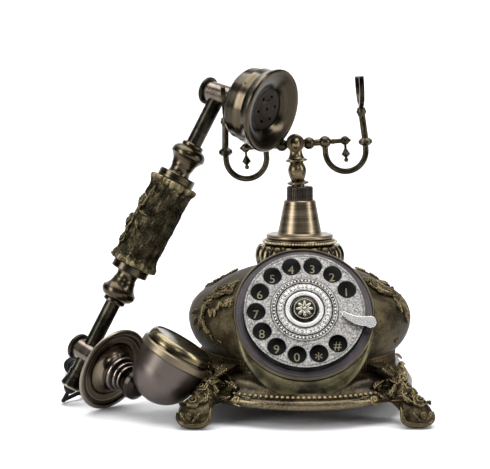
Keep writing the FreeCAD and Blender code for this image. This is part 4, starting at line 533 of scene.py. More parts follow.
def leaf_blank():
    leaf = half_ball("leaf_blank", 16, 20, (0.42, 1, 0.24))
    proud = []
    for vertex in leaf.data.vertices:
        x, y, z = vertex.co
        vertex.co.x = x * (1 - 0.75 * max(0.0, y) ** 1.6)
        rib = max(0.0, 1 - abs(x) / 0.07)
        veins = 0.5 + 0.5 * math.cos(16 * y - 22 * abs(x))
        proud.append((0.1 + 0.75 * max(rib, veins ** 2)) * min(1.0, z / 0.14) if z > 0 else 0.0)
        if z > 0:
            vertex.co.z = z * (0.62 + 0.25 * veins + 0.35 * rib) + 0.12 * y * y
    return mark_wear_and_highlight(leaf, proud)


def scroll_blank():
    """A tapering rod that runs straight, then curls in to a small eye."""
    points = [Vector((0.9 - 0.22 * i, -0.95 + 0.05 * i, 0.0)) for i in range(4)]
    for step in range(22):
        turn = -math.pi / 2 - step * math.pi / 7
        reach = 0.72 * (1 - step / 26)
        points.append(Vector((reach * math.cos(turn), reach * math.sin(turn) - 0.05, 0.1 * step / 22)))
    rod = spline_object("scroll_blank", points)
    rod.data.bevel_depth, rod.data.bevel_resolution, rod.data.resolution_u = 0.16, 2, 2
    rod.data.use_fill_caps = True
    for i, point in enumerate(rod.data.splines[0].points):
        point.radius = 0.35 + 0.9 * math.sin(math.pi * min(1.0, (i + 2) / 26)) ** 0.8
    rod.data.splines[0].points[-1].radius = 1.3
    picked(rod)
    bpy.ops.object.convert(target="MESH")
    return mark_wear_and_highlight(rod, [clamped(0.4 + vertex.co.z * 4) for vertex in rod.data.vertices])


ROSE, LEAF, SCROLL = rose_blank(), leaf_blank(), scroll_blank()


def surface_of(*names):
    """The surfaces of CAD nodes or of finished pieces, to lay things on."""
    points, faces = [], []
    for name in names:
        mesh, first = (NODES[name] if isinstance(name, str) else name).data, len(points)
        points += [vertex.co.copy() for vertex in mesh.vertices]
        faces += [[first + index for index in face.vertices] for face in mesh.polygons]
    return BVHTree.FromPolygons(points, faces)


def copied(blank, place=Matrix.Identity(4)):
    """A copy of a blank with a mesh of its own, moved to its place."""
    copy = blank.copy()
    copy.data = blank.data.copy()
    bpy.context.scene.collection.objects.link(copy)
    copy.data.transform(place)
    return copy


def laid_on(blank, surface, spot, size, turn=0.0, depth=1.0):
    """A copy of a blank, size mm in radius, that follows the surface nearest to spot; turn is in degrees."""
    centre, normal, _, _ = surface.find_nearest(Vector(spot) * MM)
    up = (Vector((0, 0, 1)) - normal * normal.z).normalized()
    right = up.cross(normal)
    swing = Matrix.Rotation(math.radians(turn), 2)
    piece = copied(blank)
    for vertex in piece.data.vertices:
        flat = swing @ Vector(vertex.co[:2]) * (size * MM)
        place = centre + right * flat.x + up * flat.y
        hit = surface.ray_cast(place + normal * 0.012, -normal, 0.024)[0]
        vertex.co = (hit or place - normal * 0.001) + normal * (vertex.co.z * size * depth * MM)
    return piece


def stem_on(surface, spots, thick):
    """A vine that runs over a surface through spots, thinner at its ends."""
    points = []
    for spot in spots:
        near, normal, _, _ = surface.find_nearest(Vector(spot) * MM)
        points.append(near + normal * (thick * 0.4 * MM))
    vine = spline_object("vine", points)
    vine.data.bevel_depth, vine.data.bevel_resolution, vine.data.resolution_u = thick * MM, 2, 6
    vine.data.splines[0].points[0].radius = vine.data.splines[0].points[-1].radius = 0.3
    picked(vine)
    bpy.ops.object.convert(target="MESH")
    return mark_wear_and_highlight(vine, [0.55] * len(vine.data.vertices))


def as_one(name, pieces, material, body):
    """Joins the pieces of a casting and gives them their finish and their body."""
    picked(*pieces)
    bpy.ops.object.join()
    whole = bpy.context.active_object
    whole.name = name
    whole.data.materials.clear()
    whole.data.materials.append(material)
    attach(whole, body)
    return whole


relief_finish = dulled(patina("rubbed_relief", 0.8, 0.25,
                              ((0.008, 0.006, 0.003), (0.034, 0.026, 0.014), (0.30, 0.235, 0.125)),
                              (180, 1500, 0.25), (0.26, 0.48), "wear_and_highlight", 0.25))
foot_surface = surface_of("scroll_feet", "plinth")
FOOT_ORNAMENTS = [(ROSE, (73.2, -80.2, 16.6), 5.2, 20, 1.0), (ROSE, (75.8, -86.5, 9.2), 2.4, 0, 1.0),
                  (ROSE, (56.8, -67.5, 19.0), 5.4, 100, 1.0), (ROSE, (69.0, -71.5, 27.0), 4.6, 200, 1.2),
                  (ROSE, (63.0, -74.0, 20.5), 3.4, 260, 1.1), (LEAF, (66.0, -79.0, 15.0), 4.6, 130, 1.2),
                  (LEAF, (79.0, -78.0, 14.5), 4.4, -60, 1.2), (LEAF, (78.0, -84.0, 8.0), 3.6, -140, 1.2),
                  (LEAF, (71.0, -85.5, 8.0), 3.8, 140, 1.2), (LEAF, (48.0, -68.5, 25.5), 6.2, 70, 1.1),
                  (LEAF, (52.5, -72.0, 17.0), 4.6, 120, 1.1), (SCROLL, (45.0, -76.0, 17.6), 4.0, 0, 0.9),
                  (LEAF, (38.5, -79.0, 19.0), 3.4, 85, 1.0), (LEAF, (61.5, -66.0, 30.5), 5.0, 20, 1.2)]
FOOT_ORNAMENTS += [(LEAF, (64.5 + 1.3 * i, -64.5 - 0.6 * i, 34.0 - 0.3 * i), 6.4, 35 - 22 * i, 1.5)
                   for i in range(4)]
TOE_RIM = [(54, -84, 15), (57, -86, 9), (62, -87, 4), (69, -87, 2.6), (77, -86, 3), (83, -82, 5.5),
           (84, -76, 9)]
FEET = [(side, end) for side in (-1, 1) for end in (-1, 1)]


def on_foot(side, end, blank, spot, size, turn, depth):
    """An ornament of the right front foot on one of the four, mirrored left to right and front to back."""
    x, y, z = spot
    return laid_on(blank, foot_surface, (x * side, y * end, z), size, -turn * side * end, depth)


castings = [on_foot(side, end, *ornament) for side, end in FEET for ornament in FOOT_ORNAMENTS]
scatter = random.Random(5)
for i in range(26):
    spot = (63 + scatter.uniform(-13, 11), -70 + scatter.uniform(-9, 8), 26 + scatter.uniform(-8, 9))
    blank, size = (ROSE, scatter.uniform(2.2, 3.4)) if i % 4 == 0 else (LEAF, scatter.uniform(3.0, 4.6))
    turn = scatter.uniform(-180, 180)
    castings += [on_foot(side, -end, blank, spot, size, turn, 1.2) for side, end in FEET]
for side, end in FEET:
    castings.append(stem_on(foot_surface, [(x * side, -y * end, z) for x, y, z in TOE_RIM], 1.7))
as_one("foot_relief", castings, relief_finish, "base")

pot_surface = surface_of("pot_shell")
RIGHT_SPRAY = [(ROSE, (48.5, -27.3, 84.3), 4.8, 0, 0.9), (ROSE, (61.2, -19.1, 79.1), 4.4, 120, 0.9),
               (ROSE, (66.1, -30.4, 72.9), 3.2, 200, 0.9), (LEAF, (54.2, -32.2, 79.5), 5.4, -150, 1.1),
               (LEAF, (43.5, -24.0, 87.0), 4.6, 60, 1.1), (LEAF, (53.0, -20.0, 83.0), 4.4, 10, 1.1),
               (LEAF, (59.0, -29.0, 78.0), 4.6, -120, 1.1), (LEAF, (66.0, -22.0, 74.0), 4.2, -60, 1.1),
               (LEAF, (68.6, -31.0, 67.5), 4.6, -165, 1.1), (LEAF, (64.5, -37.0, 71.0), 4.4, 160, 1.1),
               (LEAF, (70.0, -32.5, 62.5), 3.2, -190, 1.1), (LEAF, (61.8, -42.9, 50.0), 2.2, 40, 1.0),
               (LEAF, (63.8, -40.9, 50.6), 2.0, -60, 1.0)]
LEFT_SPRAY = [(ROSE, (-52.8, -25.9, 82.1), 4.8, 60, 0.9), (ROSE, (-63.0, -29.5, 76.0), 4.6, 0, 0.9),
              (LEAF, (-48.8, -35.8, 80.8), 5.0, -80, 1.1), (LEAF, (-45.5, -29.5, 85.0), 4.8, -30, 1.1),
              (LEAF, (-56.5, -34.5, 78.0), 4.8, 110, 1.1), (LEAF, (-58.0, -22.0, 80.0), 4.4, 40, 1.1),
              (LEAF, (-65.4, -37.3, 69.0), 5.0, 200, 1.1), (LEAF, (-71.2, -26.9, 67.1), 4.6, 120, 1.1),
              (LEAF, (-67.8, -38.0, 60.4), 4.6, 175, 1.1), (LEAF, (-70.5, -31.0, 61.5), 4.0, 150, 1.1),
              (LEAF, (-63.3, -44.3, 58.0), 4.2, 215, 1.1), (LEAF, (-49.7, -50.1, 75.2), 4.4, -50, 1.1),
              (LEAF, (-60.3, -47.2, 53.9), 2.6, 220, 1.1), (LEAF, (-56.2, -50.5, 50.9), 2.2, -40, 1.0),
              (LEAF, (-54.6, -51.6, 51.9), 2.0, 60, 1.0)]
LEFT_VINES = [((-45, -32, 84), (-55, -33, 79), (-63, -33, 73), (-67, -37, 66), (-66, -41, 60), (-61, -46, 54)),
              ((-62, -43, 68), (-58, -46, 72), (-52, -48, 75), (-48, -51, 76))]
RIGHT_VINES = [((44, -22, 87), (52, -28, 82), (59, -27, 78), (65, -30, 73), (69, -31, 67), (70, -33, 61))]
chance = random.Random(11)
for spray, vines in ((LEFT_SPRAY, LEFT_VINES), (RIGHT_SPRAY, RIGHT_VINES)):
    for vine in vines:
        for here, there in zip(vine, vine[1:]):
            for share in (0.1, 0.35, 0.6, 0.85):
                spot = [a + (b - a) * share + chance.uniform(-2.6, 2.6) for a, b in zip(here, there)]
                spray.append((LEAF, spot, chance.uniform(2.4, 3.8), chance.uniform(-180, 180), 1.2))
            spot = [(a + b) / 2 + chance.uniform(-2.0, 2.0) for a, b in zip(here, there)]
            spray.append((ROSE, spot, chance.uniform(1.8, 2.8), chance.uniform(0, 360), 1.0))
castings = []
for end in (1, -1):
    for blank, (x, y, z), size, turn, depth in RIGHT_SPRAY + LEFT_SPRAY:
        castings.append(laid_on(blank, pot_surface, (x, y * end, z), size, turn * end, depth))
    for spots in LEFT_VINES + RIGHT_VINES:
        castings.append(stem_on(pot_surface, [(x, y * end, z) for x, y, z in spots], 0.55))
as_one("pot_relief", castings, relief_finish, "base")


# Small pearls stand in a row on the foot of the plinth's cove, on all four sides between the feet. They are
# cast with the plinth, and a painted highlight makes them bright on top.
PEARL_RADIUS, PEARL_PITCH, PEARL_HEIGHT, PEARL_PROUD, OUTSIDE = 1.25, 3.3, 20.6, 0.3, 130


def small_ball(radius):
    unselected()
    bpy.ops.mesh.primitive_ico_sphere_add(subdivisions=2, radius=radius * MM)
    return bpy.context.active_object


def pearl_row():
    pearl = small_ball(PEARL_RADIUS)
    # Each pearl is brightened from its underside to its top: a painted highlight from above.
    levels = [clamped(vertex.co.z / (PEARL_RADIUS * MM), -1.0) for vertex in pearl.data.vertices]
    mark_wear_and_highlight(pearl, [0.7 + 0.6 * level for level in levels])
    pearls = []
    for reach, front in ((46.0, True), (50.0, False)):
        steps = int(2 * reach / PEARL_PITCH)
        for side in (-1, 1):
            aim = Vector((0, -side, 0) if front else (-side, 0, 0))
            for i in range(steps + 1):
                slide = -reach + 2 * reach * i / steps
                across = (slide, OUTSIDE * side) if front else (OUTSIDE * side, slide)
                hit = foot_surface.ray_cast(Vector((*across, PEARL_HEIGHT)) * MM, aim)[0]
                pearls.append(copied(pearl, Matrix.Translation(hit - aim * (PEARL_PROUD * MM))))
    bpy.data.objects.remove(pearl)
    return pearls


as_one("plinth_pearls", pearl_row(), relief_finish, "base")


# The waist band: a dark band under a pierced lattice, four thin rings crossed by short upright bars. The net
# is left open where the dial's drum stands in front of it.
BARS, RINGS, LATTICE_LOW, LATTICE_HIGH = 168, 4, 31.2, 38.6
BAR_SHARE, RING_HALF, BAR_PROUD, RING_PROUD, SUNK = 0.16, 0.28, 0.35, 0.45, 0.3
DIAL = Matrix.Translation((0, -0.062, 0.0744)) @ Matrix.Rotation(math.radians(58.5), 4, "X")
DRUM_RADIUS = 0.0475


def spoke(angle, radius=1.0, height=0.0):
    """A point at an angle, a radius and a height."""
    return Vector((radius * math.cos(angle), radius * math.sin(angle), height))


def lattice():
    surface = surface_of("waist_band")
    dial_back = DIAL.inverted()
    points, faces = [], []

    def bar(left, right, low, high, proud):
        """A flat-topped bar between two angles and two heights, its top proud of the band."""
        base, top = [], []
        for angle, height in ((left, low), (right, low), (right, high), (left, high)):
            outward = spoke(angle)
            hit = surface.ray_cast(spoke(angle, 0.09, height * MM), -outward)[0]
            if hit is None:
                return
            base.append(hit - outward * (SUNK * MM))
            top.append(hit + outward * (proud * MM))
        inside = dial_back @ top[0]
        if math.hypot(inside.x, inside.y) < DRUM_RADIUS and inside.z < 0.001:
            return
        first = len(points)
        points.extend(base + top)
        for ring in ((4, 5, 6, 7), (0, 1, 5, 4), (1, 2, 6, 5), (2, 3, 7, 6), (3, 0, 4, 7)):
            faces.append([first + index for index in ring])

    step = 2 * math.pi / BARS
    for column in range(BARS):
        angle = column * step
        bar(angle - BAR_SHARE * step, angle + BAR_SHARE * step, LATTICE_LOW, LATTICE_HIGH, BAR_PROUD)
        for row in range(RINGS):
            height = LATTICE_LOW + (LATTICE_HIGH - LATTICE_LOW) * row / (RINGS - 1)
            bar(angle, angle + step, height - RING_HALF, height + RING_HALF, RING_PROUD)
    return mark_wear_and_highlight(outline_mesh("lattice", points, faces), [0.62] * len(points))


net = lattice()
for face in net.data.polygons:
    face.use_smooth = False
as_one("waist_lattice", [net], relief_finish, "base")


# The column and the cradle: a turned cone and plunger of bronze, brass hub, arms and forks, and a row of small
# bright beads all round under the flange. The plunger leans a little with the cradle.
UPRIGHT = Matrix.Identity(4)
LEAN = Matrix.Translation((0, 0, 0.135)) @ Matrix.Rotation(math.radians(-4.2), 4, "Y")
LEAN = LEAN @ Matrix.Translation((0, 0, -0.135))
cone_bronze = lathe("cone_bronze", UPRIGHT, ((0.055, 0.042, 0.027), (0.20, 0.16, 0.105), (0.42, 0.35, 0.24)))
plunger_bronze = lathe("plunger_bronze", LEAN,
                       ((0.012, 0.009, 0.008), (0.045, 0.036, 0.03), (0.14, 0.115, 0.095)))
brass = patina("antique_brass", 1.0, 0.12, ((0.035, 0.026, 0.016), (0.15, 0.115, 0.068), (0.42, 0.34, 0.20)),
               (90, 1500, 0.35), (0.2, 0.36))
arm_brass = patina("arm_brass", 1.0, 0.1, ((0.014, 0.011, 0.007), (0.05, 0.041, 0.026), (0.17, 0.14, 0.09)),
                   (90, 1500, 0.35), (0.2, 0.34))
bead_finish = patina("bead_brass", 1.0, 0.1, ((0.03, 0.022, 0.013), (0.12, 0.09, 0.05), (0.42, 0.34, 0.21)),
                     (300, 1500, 0.4), (0.2, 0.34), "wear_and_highlight")
dress(cone_bronze, "column_cone", "column_flange")
dress(plunger_bronze, "cradle_plunger")
dress(brass, "bead_ring", "cradle_hub", "cradle_stem", "dial_spindle", "spring_can", "mechanism_plate")
dress(arm_brass, "left_arm", "right_arm", "left_horn", "right_horn", "left_fork", "right_fork",
      "cradle_drops")
BEADS, BEAD_RADIUS = 80, 1.0


def column_beads():
    surface = surface_of("bead_ring")
    heights = [vertex.co.z for vertex in NODES["bead_ring"].data.vertices]
    middle = sum(heights) / len(heights)
    bead = small_ball(BEAD_RADIUS)
    mark_wear_and_highlight(bead, [0.9] * len(bead.data.vertices))
    beads = []
    for i in range(BEADS):
        angle = 2 * math.pi * i / BEADS
        hit = surface.ray_cast(spoke(angle, 0.05, middle), -spoke(angle))[0]
        beads.append(copied(bead, Matrix.Translation(hit)))
    bpy.data.objects.remove(bead)
    return beads


as_one("column_beads", column_beads(), bead_finish, "base")


# The dial: an olive drum with a turned rim, a black number plate and a wheel of aged pewter with a dark
# medallion. Under it the drum swells out in a crescent lip, which is cast with it.
drum_olive = patina("drum_olive", 0.8, 0.25, ((0.008, 0.007, 0.004), (0.05, 0.045, 0.022), (0.22, 0.2, 0.11)),
                    (50, 1100, 0.3), (0.22, 0.42))
lip_olive = patina("lip_olive", 0.8, 0.25, ((0.012, 0.010, 0.005), (0.075, 0.066, 0.032), (0.20, 0.175, 0.09)),
                   (50, 1100, 0.3), (0.26, 0.44), "wear_and_highlight")
ring_gunmetal = lathe("ring_gunmetal", DIAL, ((0.02, 0.018, 0.02), (0.12, 0.107, 0.112), (0.32, 0.3, 0.305)))
bezel_bronze = lathe("bezel_bronze", DIAL, ((0.05, 0.042, 0.028), (0.17, 0.14, 0.09), (0.5, 0.43, 0.3)))
plate_black = patina("plate_black", 0.0, 0.1,
                     ((0.002, 0.002, 0.002), (0.004, 0.004, 0.004), (0.008, 0.008, 0.008)),
                     (150, 1800, 0.2), (0.45, 0.6), specular=0.15)
pewter = patina("antique_pewter", 1.0, 0.5, ((0.13, 0.125, 0.115), (0.38, 0.37, 0.35), (0.68, 0.665, 0.64)),
                (900, 2600, 0.55), (0.28, 0.48))
stop_pewter = patina("stop_pewter", 1.0, 0.02, ((0.68, 0.67, 0.65), (0.74, 0.73, 0.71), (0.8, 0.79, 0.77)),
                     (30, 150, 0.4), (0.22, 0.26))
medallion_dark = patina("medallion_dark", 0.9, 0.15,
                        ((0.008, 0.007, 0.006), (0.03, 0.026, 0.02), (0.10, 0.085, 0.06)),
                        (200, 1500, 0.3), (0.2, 0.35))
dress(drum_olive, "dial_drum")
dress(ring_gunmetal, "dial_ring")
dress(bezel_bronze, "dial_bezel")
dress(plate_black, "number_plate")
dress(pewter, "finger_wheel")
dress(stop_pewter, "finger_stop")
dress(medallion_dark, "wheel_medallion")
LIP_RADIUS, LIP_WIDTH, LIP_HEIGHT, LIP_DEPTH = 46.6, 12.2, -7.4, 6.0


def drum_lip():
    """Two sheets closed along their rim: widest at the foot of the dial, gone at its sides."""
    points, faces, steps, rows = [], [], 72, 10
    for back in (0.0, -LIP_DEPTH):
        for i in range(steps + 1):
            turn = math.radians(-90 + 85 * (2 * i / steps - 1))
            width = LIP_WIDTH * max(0.03, -math.sin(turn)) ** 2.2
            for j in range(rows + 1):
                share = j / rows
                swell = 1.5 * math.sin(math.pi * share) * width / LIP_WIDTH
                height = LIP_HEIGHT - 1.6 * share + swell + back * (1 - 0.4 * share)
                points.append(DIAL @ (spoke(turn, LIP_RADIUS + width * share, height) * MM))
    sheet = (steps + 1) * (rows + 1)
    for i in range(steps):
        for j in range(rows):
            corner = i * (rows + 1) + j
            face = (corner, corner + rows + 1, corner + rows + 2, corner + 1)
            faces += [face[::-1], tuple(sheet + index for index in face)]
    edge = [i * (rows + 1) for i in range(steps + 1)] + [steps * (rows + 1) + j for j in range(1, rows + 1)]
    edge += [i * (rows + 1) + rows for i in range(steps - 1, -1, -1)] + list(range(rows - 1, 0, -1))
    for here, there in zip(edge, edge[1:] + edge[:1]):
        faces.append((here, there, sheet + there, sheet + here))
    return mark_wear_and_highlight(outline_mesh("drum_lip", points, faces), [0.35] * len(points))


as_one("drum_lip", [drum_lip()], lip_olive, "base")


# The wheel's ornament: a ring of beads and dark grooves round its raised middle, petals between them, and a
# pewter rosette on the medallion. It is cast with the wheel, and what lies deep is black.
def in_mesh(piece, matrix, proud):
    """Turns a curve or text into a mesh in the frame of the row, all of it equally proud."""
    picked(piece)
    bpy.ops.object.convert(target="MESH")
    piece = bpy.context.active_object
    piece.data.transform(matrix @ piece.matrix_world)
    piece.matrix_world = Matrix.Identity(4)
    return mark_wear_and_highlight(piece, [proud] * len(piece.data.vertices))


def ridge(radius, height, thick, proud=0.8, flat=1.0):
    """A ring on the dial, half thick mm across; flat presses it down to a ribbon."""
    ring = spline_object("ridge", [spoke(i * math.pi / 24, radius) * MM for i in range(48)], cyclic=True)
    ring.data.bevel_depth, ring.data.bevel_resolution, ring.data.resolution_u = thick * MM, 1, 3
    place = DIAL @ Matrix.Translation((0, 0, height * MM)) @ Matrix.Diagonal((1, 1, flat, 1))
    return in_mesh(ring, place, proud)


def round_the_dial(blank, count, radius, height, shape, first=0.0):
    """Copies of a blank in a ring about the dial's axis, their long side pointing outward."""
    place = Matrix.Translation(Vector((radius, 0, height)) * MM)
    place = place @ Matrix.Diagonal((*[value * MM for value in shape], 1))
    turns = [Matrix.Rotation(2 * math.pi * (i + first) / count, 4, "Z") for i in range(count)]
    return [copied(blank, DIAL @ turn @ place) for turn in turns]


bead = half_ball("wheel_bead", 10, 8, (1, 1, 1))
mark_wear_and_highlight(bead, [clamped(vertex.co.z * 1.4 - 0.1) for vertex in bead.data.vertices])
ornaments = [ridge(38.6, 0.05, 0.3, 0.5), ridge(20.4, 0.6, 1.4, 0.42, 0.1),
             ridge(15.9, 0.6, 2.2, 0.9, 0.06), ridge(11.2, 0.6, 1.7, 0.9, 0.06)]
ornaments += round_the_dial(bead, 54, 20.3, 0.65, (0.62, 0.62, 0.5))
wheel_finish = patina("wheel_ornament", 1.0, 0.2,
                      ((0.02, 0.018, 0.016), (0.06, 0.055, 0.05), (0.8, 0.78, 0.74)),
                      (300, 1500, 0.4), (0.22, 0.4), "wear_and_highlight")
as_one("wheel_ornaments", ornaments, wheel_finish, "finger_wheel")

groove_black = patina("groove_black", 0.3, 0.1,
                      ((0.003, 0.003, 0.003), (0.008, 0.007, 0.006), (0.02, 0.018, 0.015)),
                      (300, 1500, 0.3), (0.4, 0.6), specular=0.2)
grooves = [ridge(22.3, 0.62, 0.22, 0, 0.6), ridge(18.5, 0.66, 0.5, 0, 0.5), ridge(13.3, 0.66, 0.25, 0, 0.7),
           ridge(9.4, 0.66, 0.2, 0, 0.7)]
petal = half_ball("wheel_mark", 8, 6, (1, 1, 1))
mark_wear_and_highlight(petal, [0.0] * len(petal.data.vertices))
PETAL_ROWS = [(36, 16.6, (0.55, 0.3, 0.25)), (36, 15.2, (0.3, 0.75, 0.25)), (18, 15.9, (1.3, 0.25, 0.3))]
for count, radius, shape in PETAL_ROWS:
    grooves += round_the_dial(petal, count, radius, 0.68, shape, 0.25)
bpy.data.objects.remove(petal)
as_one("wheel_grooves", grooves, groove_black, "finger_wheel")

rosette = [ridge(6.9, 1.15, 0.3)]
rosette += round_the_dial(bead, 8, 3.7, 1.3, (2.3, 1.15, 0.7))
rosette += round_the_dial(bead, 8, 2.2, 1.6, (1.2, 0.6, 0.6), 0.5)
rosette += round_the_dial(bead, 1, 0.0, 1.9, (1.3, 1.3, 0.9))
bpy.data.objects.remove(bead)
rosette_pewter = patina("rosette_pewter", 1.0, 0.2,
                        ((0.03, 0.028, 0.018), (0.13, 0.12, 0.085), (0.36, 0.345, 0.28)),
                        (300, 1500, 0.4), (0.2, 0.38), "wear_and_highlight")
as_one("medallion_rosette", rosette, rosette_pewter, "finger_wheel")


# Plain olive digits are printed on the black plate in a ring, and read through the finger holes. A star
# fills less of its line than a digit, so it is set larger.
DIGIT_SIZE, STAR_SIZE, DIGIT_THICK, DIGIT_RADIUS, PLATE_FACE = 8.4, 12.0, 0.06, 31.8, -5.4 + 0.05
FIRST_DIGIT, DIGIT_STEP = 26.9, 25.9
digits = []
for i, mark in enumerate("1234567890*#"):
    unselected()
    bpy.ops.object.text_add()
    text = bpy.context.active_object
    text.data.body, text.data.size = mark, (STAR_SIZE if mark == "*" else DIGIT_SIZE) * MM
    text.data.extrude, text.data.resolution_u = DIGIT_THICK * MM, 4
    bpy.context.view_layer.update()
    corners = [Vector(corner) for corner in text.bound_box]
    middle = (corners[0] + corners[6]) / 2
    spot = spoke(math.radians(FIRST_DIGIT + DIGIT_STEP * i), DIGIT_RADIUS, PLATE_FACE) * MM
    digits.append(in_mesh(text, DIAL @ Matrix.Translation(spot - Vector((middle.x, middle.y, 0))), 0.5))
paint = speckled("digit_paint", 0.3, 0.4, 900, (0.24, 0.205, 0.13), (0.36, 0.31, 0.20), 0.45)
as_one("plate_digits", digits, paint, "base")


# The handset: a dark tube with two turned ferrules and a tail bell, an ear piece on a joint above, and a joint,
# saucer and cup below. It stands on the floor with its saucer and leans up into the left fork.
HANDLE_LENGTH = 0.2009


def handset_frame():
    def heading(turn, rise):
        turn, rise = math.radians(turn), math.radians(rise)
        return Vector((math.cos(rise) * math.cos(turn), math.cos(rise) * math.sin(turn), math.sin(rise)))
    along, outward = heading(10.3, 62.5), heading(-43.5, 0)
    outward.z = -(outward.x * along.x + outward.y * along.y) / along.z
    outward.normalize()
    sideways = along.cross(outward)
    turn = Matrix((outward, sideways, along)).transposed().to_4x4()
    return Matrix.Translation((-0.1472, -0.012, 0.03634)) @ turn


HANDSET = handset_frame()
LOWER = HANDSET @ Matrix.Rotation(math.radians(90), 4, "Y")
UPPER = HANDSET @ Matrix.Translation((0, 0, HANDLE_LENGTH)) @ Matrix.Rotation(math.radians(4), 4, "Z")
UPPER = UPPER @ Matrix.Rotation(math.radians(85), 4, "Y")
CUP = LOWER @ Matrix.Translation((-0.0307, 0, 0.0705))
CUP = Matrix.Translation(CUP.to_translation()) @ (
    HANDSET.to_3x3() @ Matrix.Rotation(math.radians(6), 3, "Y")).to_4x4()

LIGHT, UMBER = (0.36, 0.31, 0.25), (0.012, 0.009, 0.006)
BARREL = ((0.05, 0.04, 0.032), (0.14, 0.115, 0.093), (0.28, 0.235, 0.19))
dark_bronze = patina("dark_bronze", 0.9, 0.15,
                     ((0.010, 0.009, 0.006), (0.036, 0.032, 0.022), (0.10, 0.088, 0.062)),
                     (70, 1200, 0.3), (0.22, 0.38))
ferrule_bronze = lathe("ferrule_bronze", HANDSET,
                       ((0.022, 0.017, 0.011), (0.075, 0.06, 0.038), (0.18, 0.145, 0.095)), (0.2, 0.32))
tail_dark = lathe("tail_dark", HANDSET, ((0.01, 0.009, 0.007), (0.026, 0.023, 0.018), (0.06, 0.053, 0.042)),
                  contrast=0.3, along=[(-27.2, -25.6, LIGHT, 0.7)])
# The pale pinkish band from 28.0 to 31.4 mm beside the groove is a painted highlight.
ear_bronze = lathe("ear_bronze", UPPER, ((0.02, 0.015, 0.010), (0.078, 0.062, 0.041), (0.22, 0.185, 0.13)),
                   (0.15, 0.27), along=[(31.4, 32.0, UMBER, 0.5), (28.0, 31.4, (0.10, 0.085, 0.072), 0.6)],
                   across=[(0.0, 25.2, (0.022, 0.018, 0.013), 0.6)])
ear_disc_brown = lathe("ear_disc_brown", UPPER,
                       ((0.009, 0.006, 0.005), (0.02, 0.015, 0.011), (0.045, 0.036, 0.028)),
                       across=[(13.9, 15.2, UMBER, 0.9)])
# The band from 18.1 to 22.8 mm in the dish is painted paler, a painted reflection of the floor.
saucer_bronze = lathe("saucer_bronze", LOWER, ((0.02, 0.016, 0.01), (0.07, 0.056, 0.036), (0.2, 0.165, 0.115)),
                      contrast=0.3,
                      across=[(26.9, 30.0, (0.30, 0.265, 0.21), 0.75), (24.0, 26.7, (0.06, 0.05, 0.035), 0.7),
                              (23.0, 23.6, LIGHT, 0.8), (18.1, 22.8, (0.15, 0.118, 0.078), 0.7)])
cup_bronze = lathe("cup_bronze", CUP, ((0.075, 0.06, 0.052), (0.115, 0.094, 0.083), (0.18, 0.15, 0.135)),
                   (0.34, 0.48), 0.3, [(-2.7, 2.7, (0.19, 0.155, 0.10), 0.8), (-3.1, -2.7, UMBER, 0.8)])
dress(dark_bronze, "handle_tube", "mouth_joint_cap", "ear_joint_cap")
dress(ferrule_bronze, "upper_ferrule", "lower_ferrule")
dress(tail_dark, "tail_bell")
dress(lathe("mouth_barrel", LOWER, BARREL, (0.18, 0.3), 0.4), "mouth_joint")
dress(lathe("ear_barrel", UPPER, BARREL, (0.18, 0.3), 0.4), "ear_joint")
dress(ear_bronze, "ear_cup_back", "ear_cup_front")
dress(ear_disc_brown, "ear_disc")
dress(saucer_bronze, "mouth_saucer")
dress(cup_bronze, "mouth_cup")


# The grip sleeve: cast like old bark, with ridges along the handle, a ragged golden lip at either end, and a
# cluster of roses and leaves on its left side.
SLEEVE = HANDSET @ Matrix.Translation((0, 0, HANDLE_LENGTH / 2))
SLEEVE_HALF, SLEEVE_BORE, BARK_RADIUS = 32.5, 5.4, 13.9
BARK_RISE, LIP_RISE, CREST_RISE, END_FALL = 1.5, 2.3, 0.5, 1.8


def ring_faces(rings, around):
    """The faces that join each ring of points to the next."""
    faces = []
    for first in range(0, (rings - 1) * around, around):
        for i in range(around):
            here, there = first + i, first + (i + 1) % around
            faces.append((here, there, there + around, here + around))
    return faces


def bark_sleeve():
    around, rings = 144, 84
    angles = [2 * math.pi * i / around for i in range(around)]
    points, proud = [], []

    def bore(level):
        for angle in angles:
            points.append(SLEEVE @ (spoke(angle, SLEEVE_BORE, level) * MM))
            proud.append(0.1)

    def bark(angle, level):
        """Fibres run along the handle, and a tongue of varying length turns up into a lip at either end."""
        x, y = math.cos(angle), math.sin(angle)
        fibres = noise.fractal(Vector((x * 6.5, y * 6.5, level * 0.11)), 0.8, 2.2, 4)
        knots = noise.noise(Vector((x * 2.2, y * 2.2, level * 0.09 + 7)))
        lump = clamped(0.5 + 0.65 * fibres + 0.35 * knots)
        end = SLEEVE_HALF - abs(level)
        tongue = 6.6 + 3.2 * noise.noise(Vector((x * 3.5, y * 3.5, math.copysign(3.0, level))))
        lip = clamped((tongue - end) / 3.6)
        crest = 1 - min(1.0, abs(end - tongue) / 0.9)
        blunt = max(0.0, 1 - end / 1.6)
        radius = BARK_RADIUS + BARK_RISE * lump + LIP_RISE * lip + CREST_RISE * crest
        radius -= END_FALL * blunt * blunt
        points.append(SLEEVE @ (spoke(angle, radius, level) * MM))
        proud.append(min(1.0, 0.12 + 0.5 * max(0.0, lump - 0.5) + (0.3 + 0.5 * lump) * max(lip, crest)))

    bore(-SLEEVE_HALF)
    for ring in range(rings + 1):
        for angle in angles:
            bark(angle, -SLEEVE_HALF + 2 * SLEEVE_HALF * ring / rings)
    bore(SLEEVE_HALF)
    last = (rings + 2) * around
    faces = ring_faces(rings + 3, around)
    faces += [(last + i, last + (i + 1) % around, (i + 1) % around, i) for i in range(around)]
    return mark_wear_and_highlight(outline_mesh("bark", points, faces), proud)


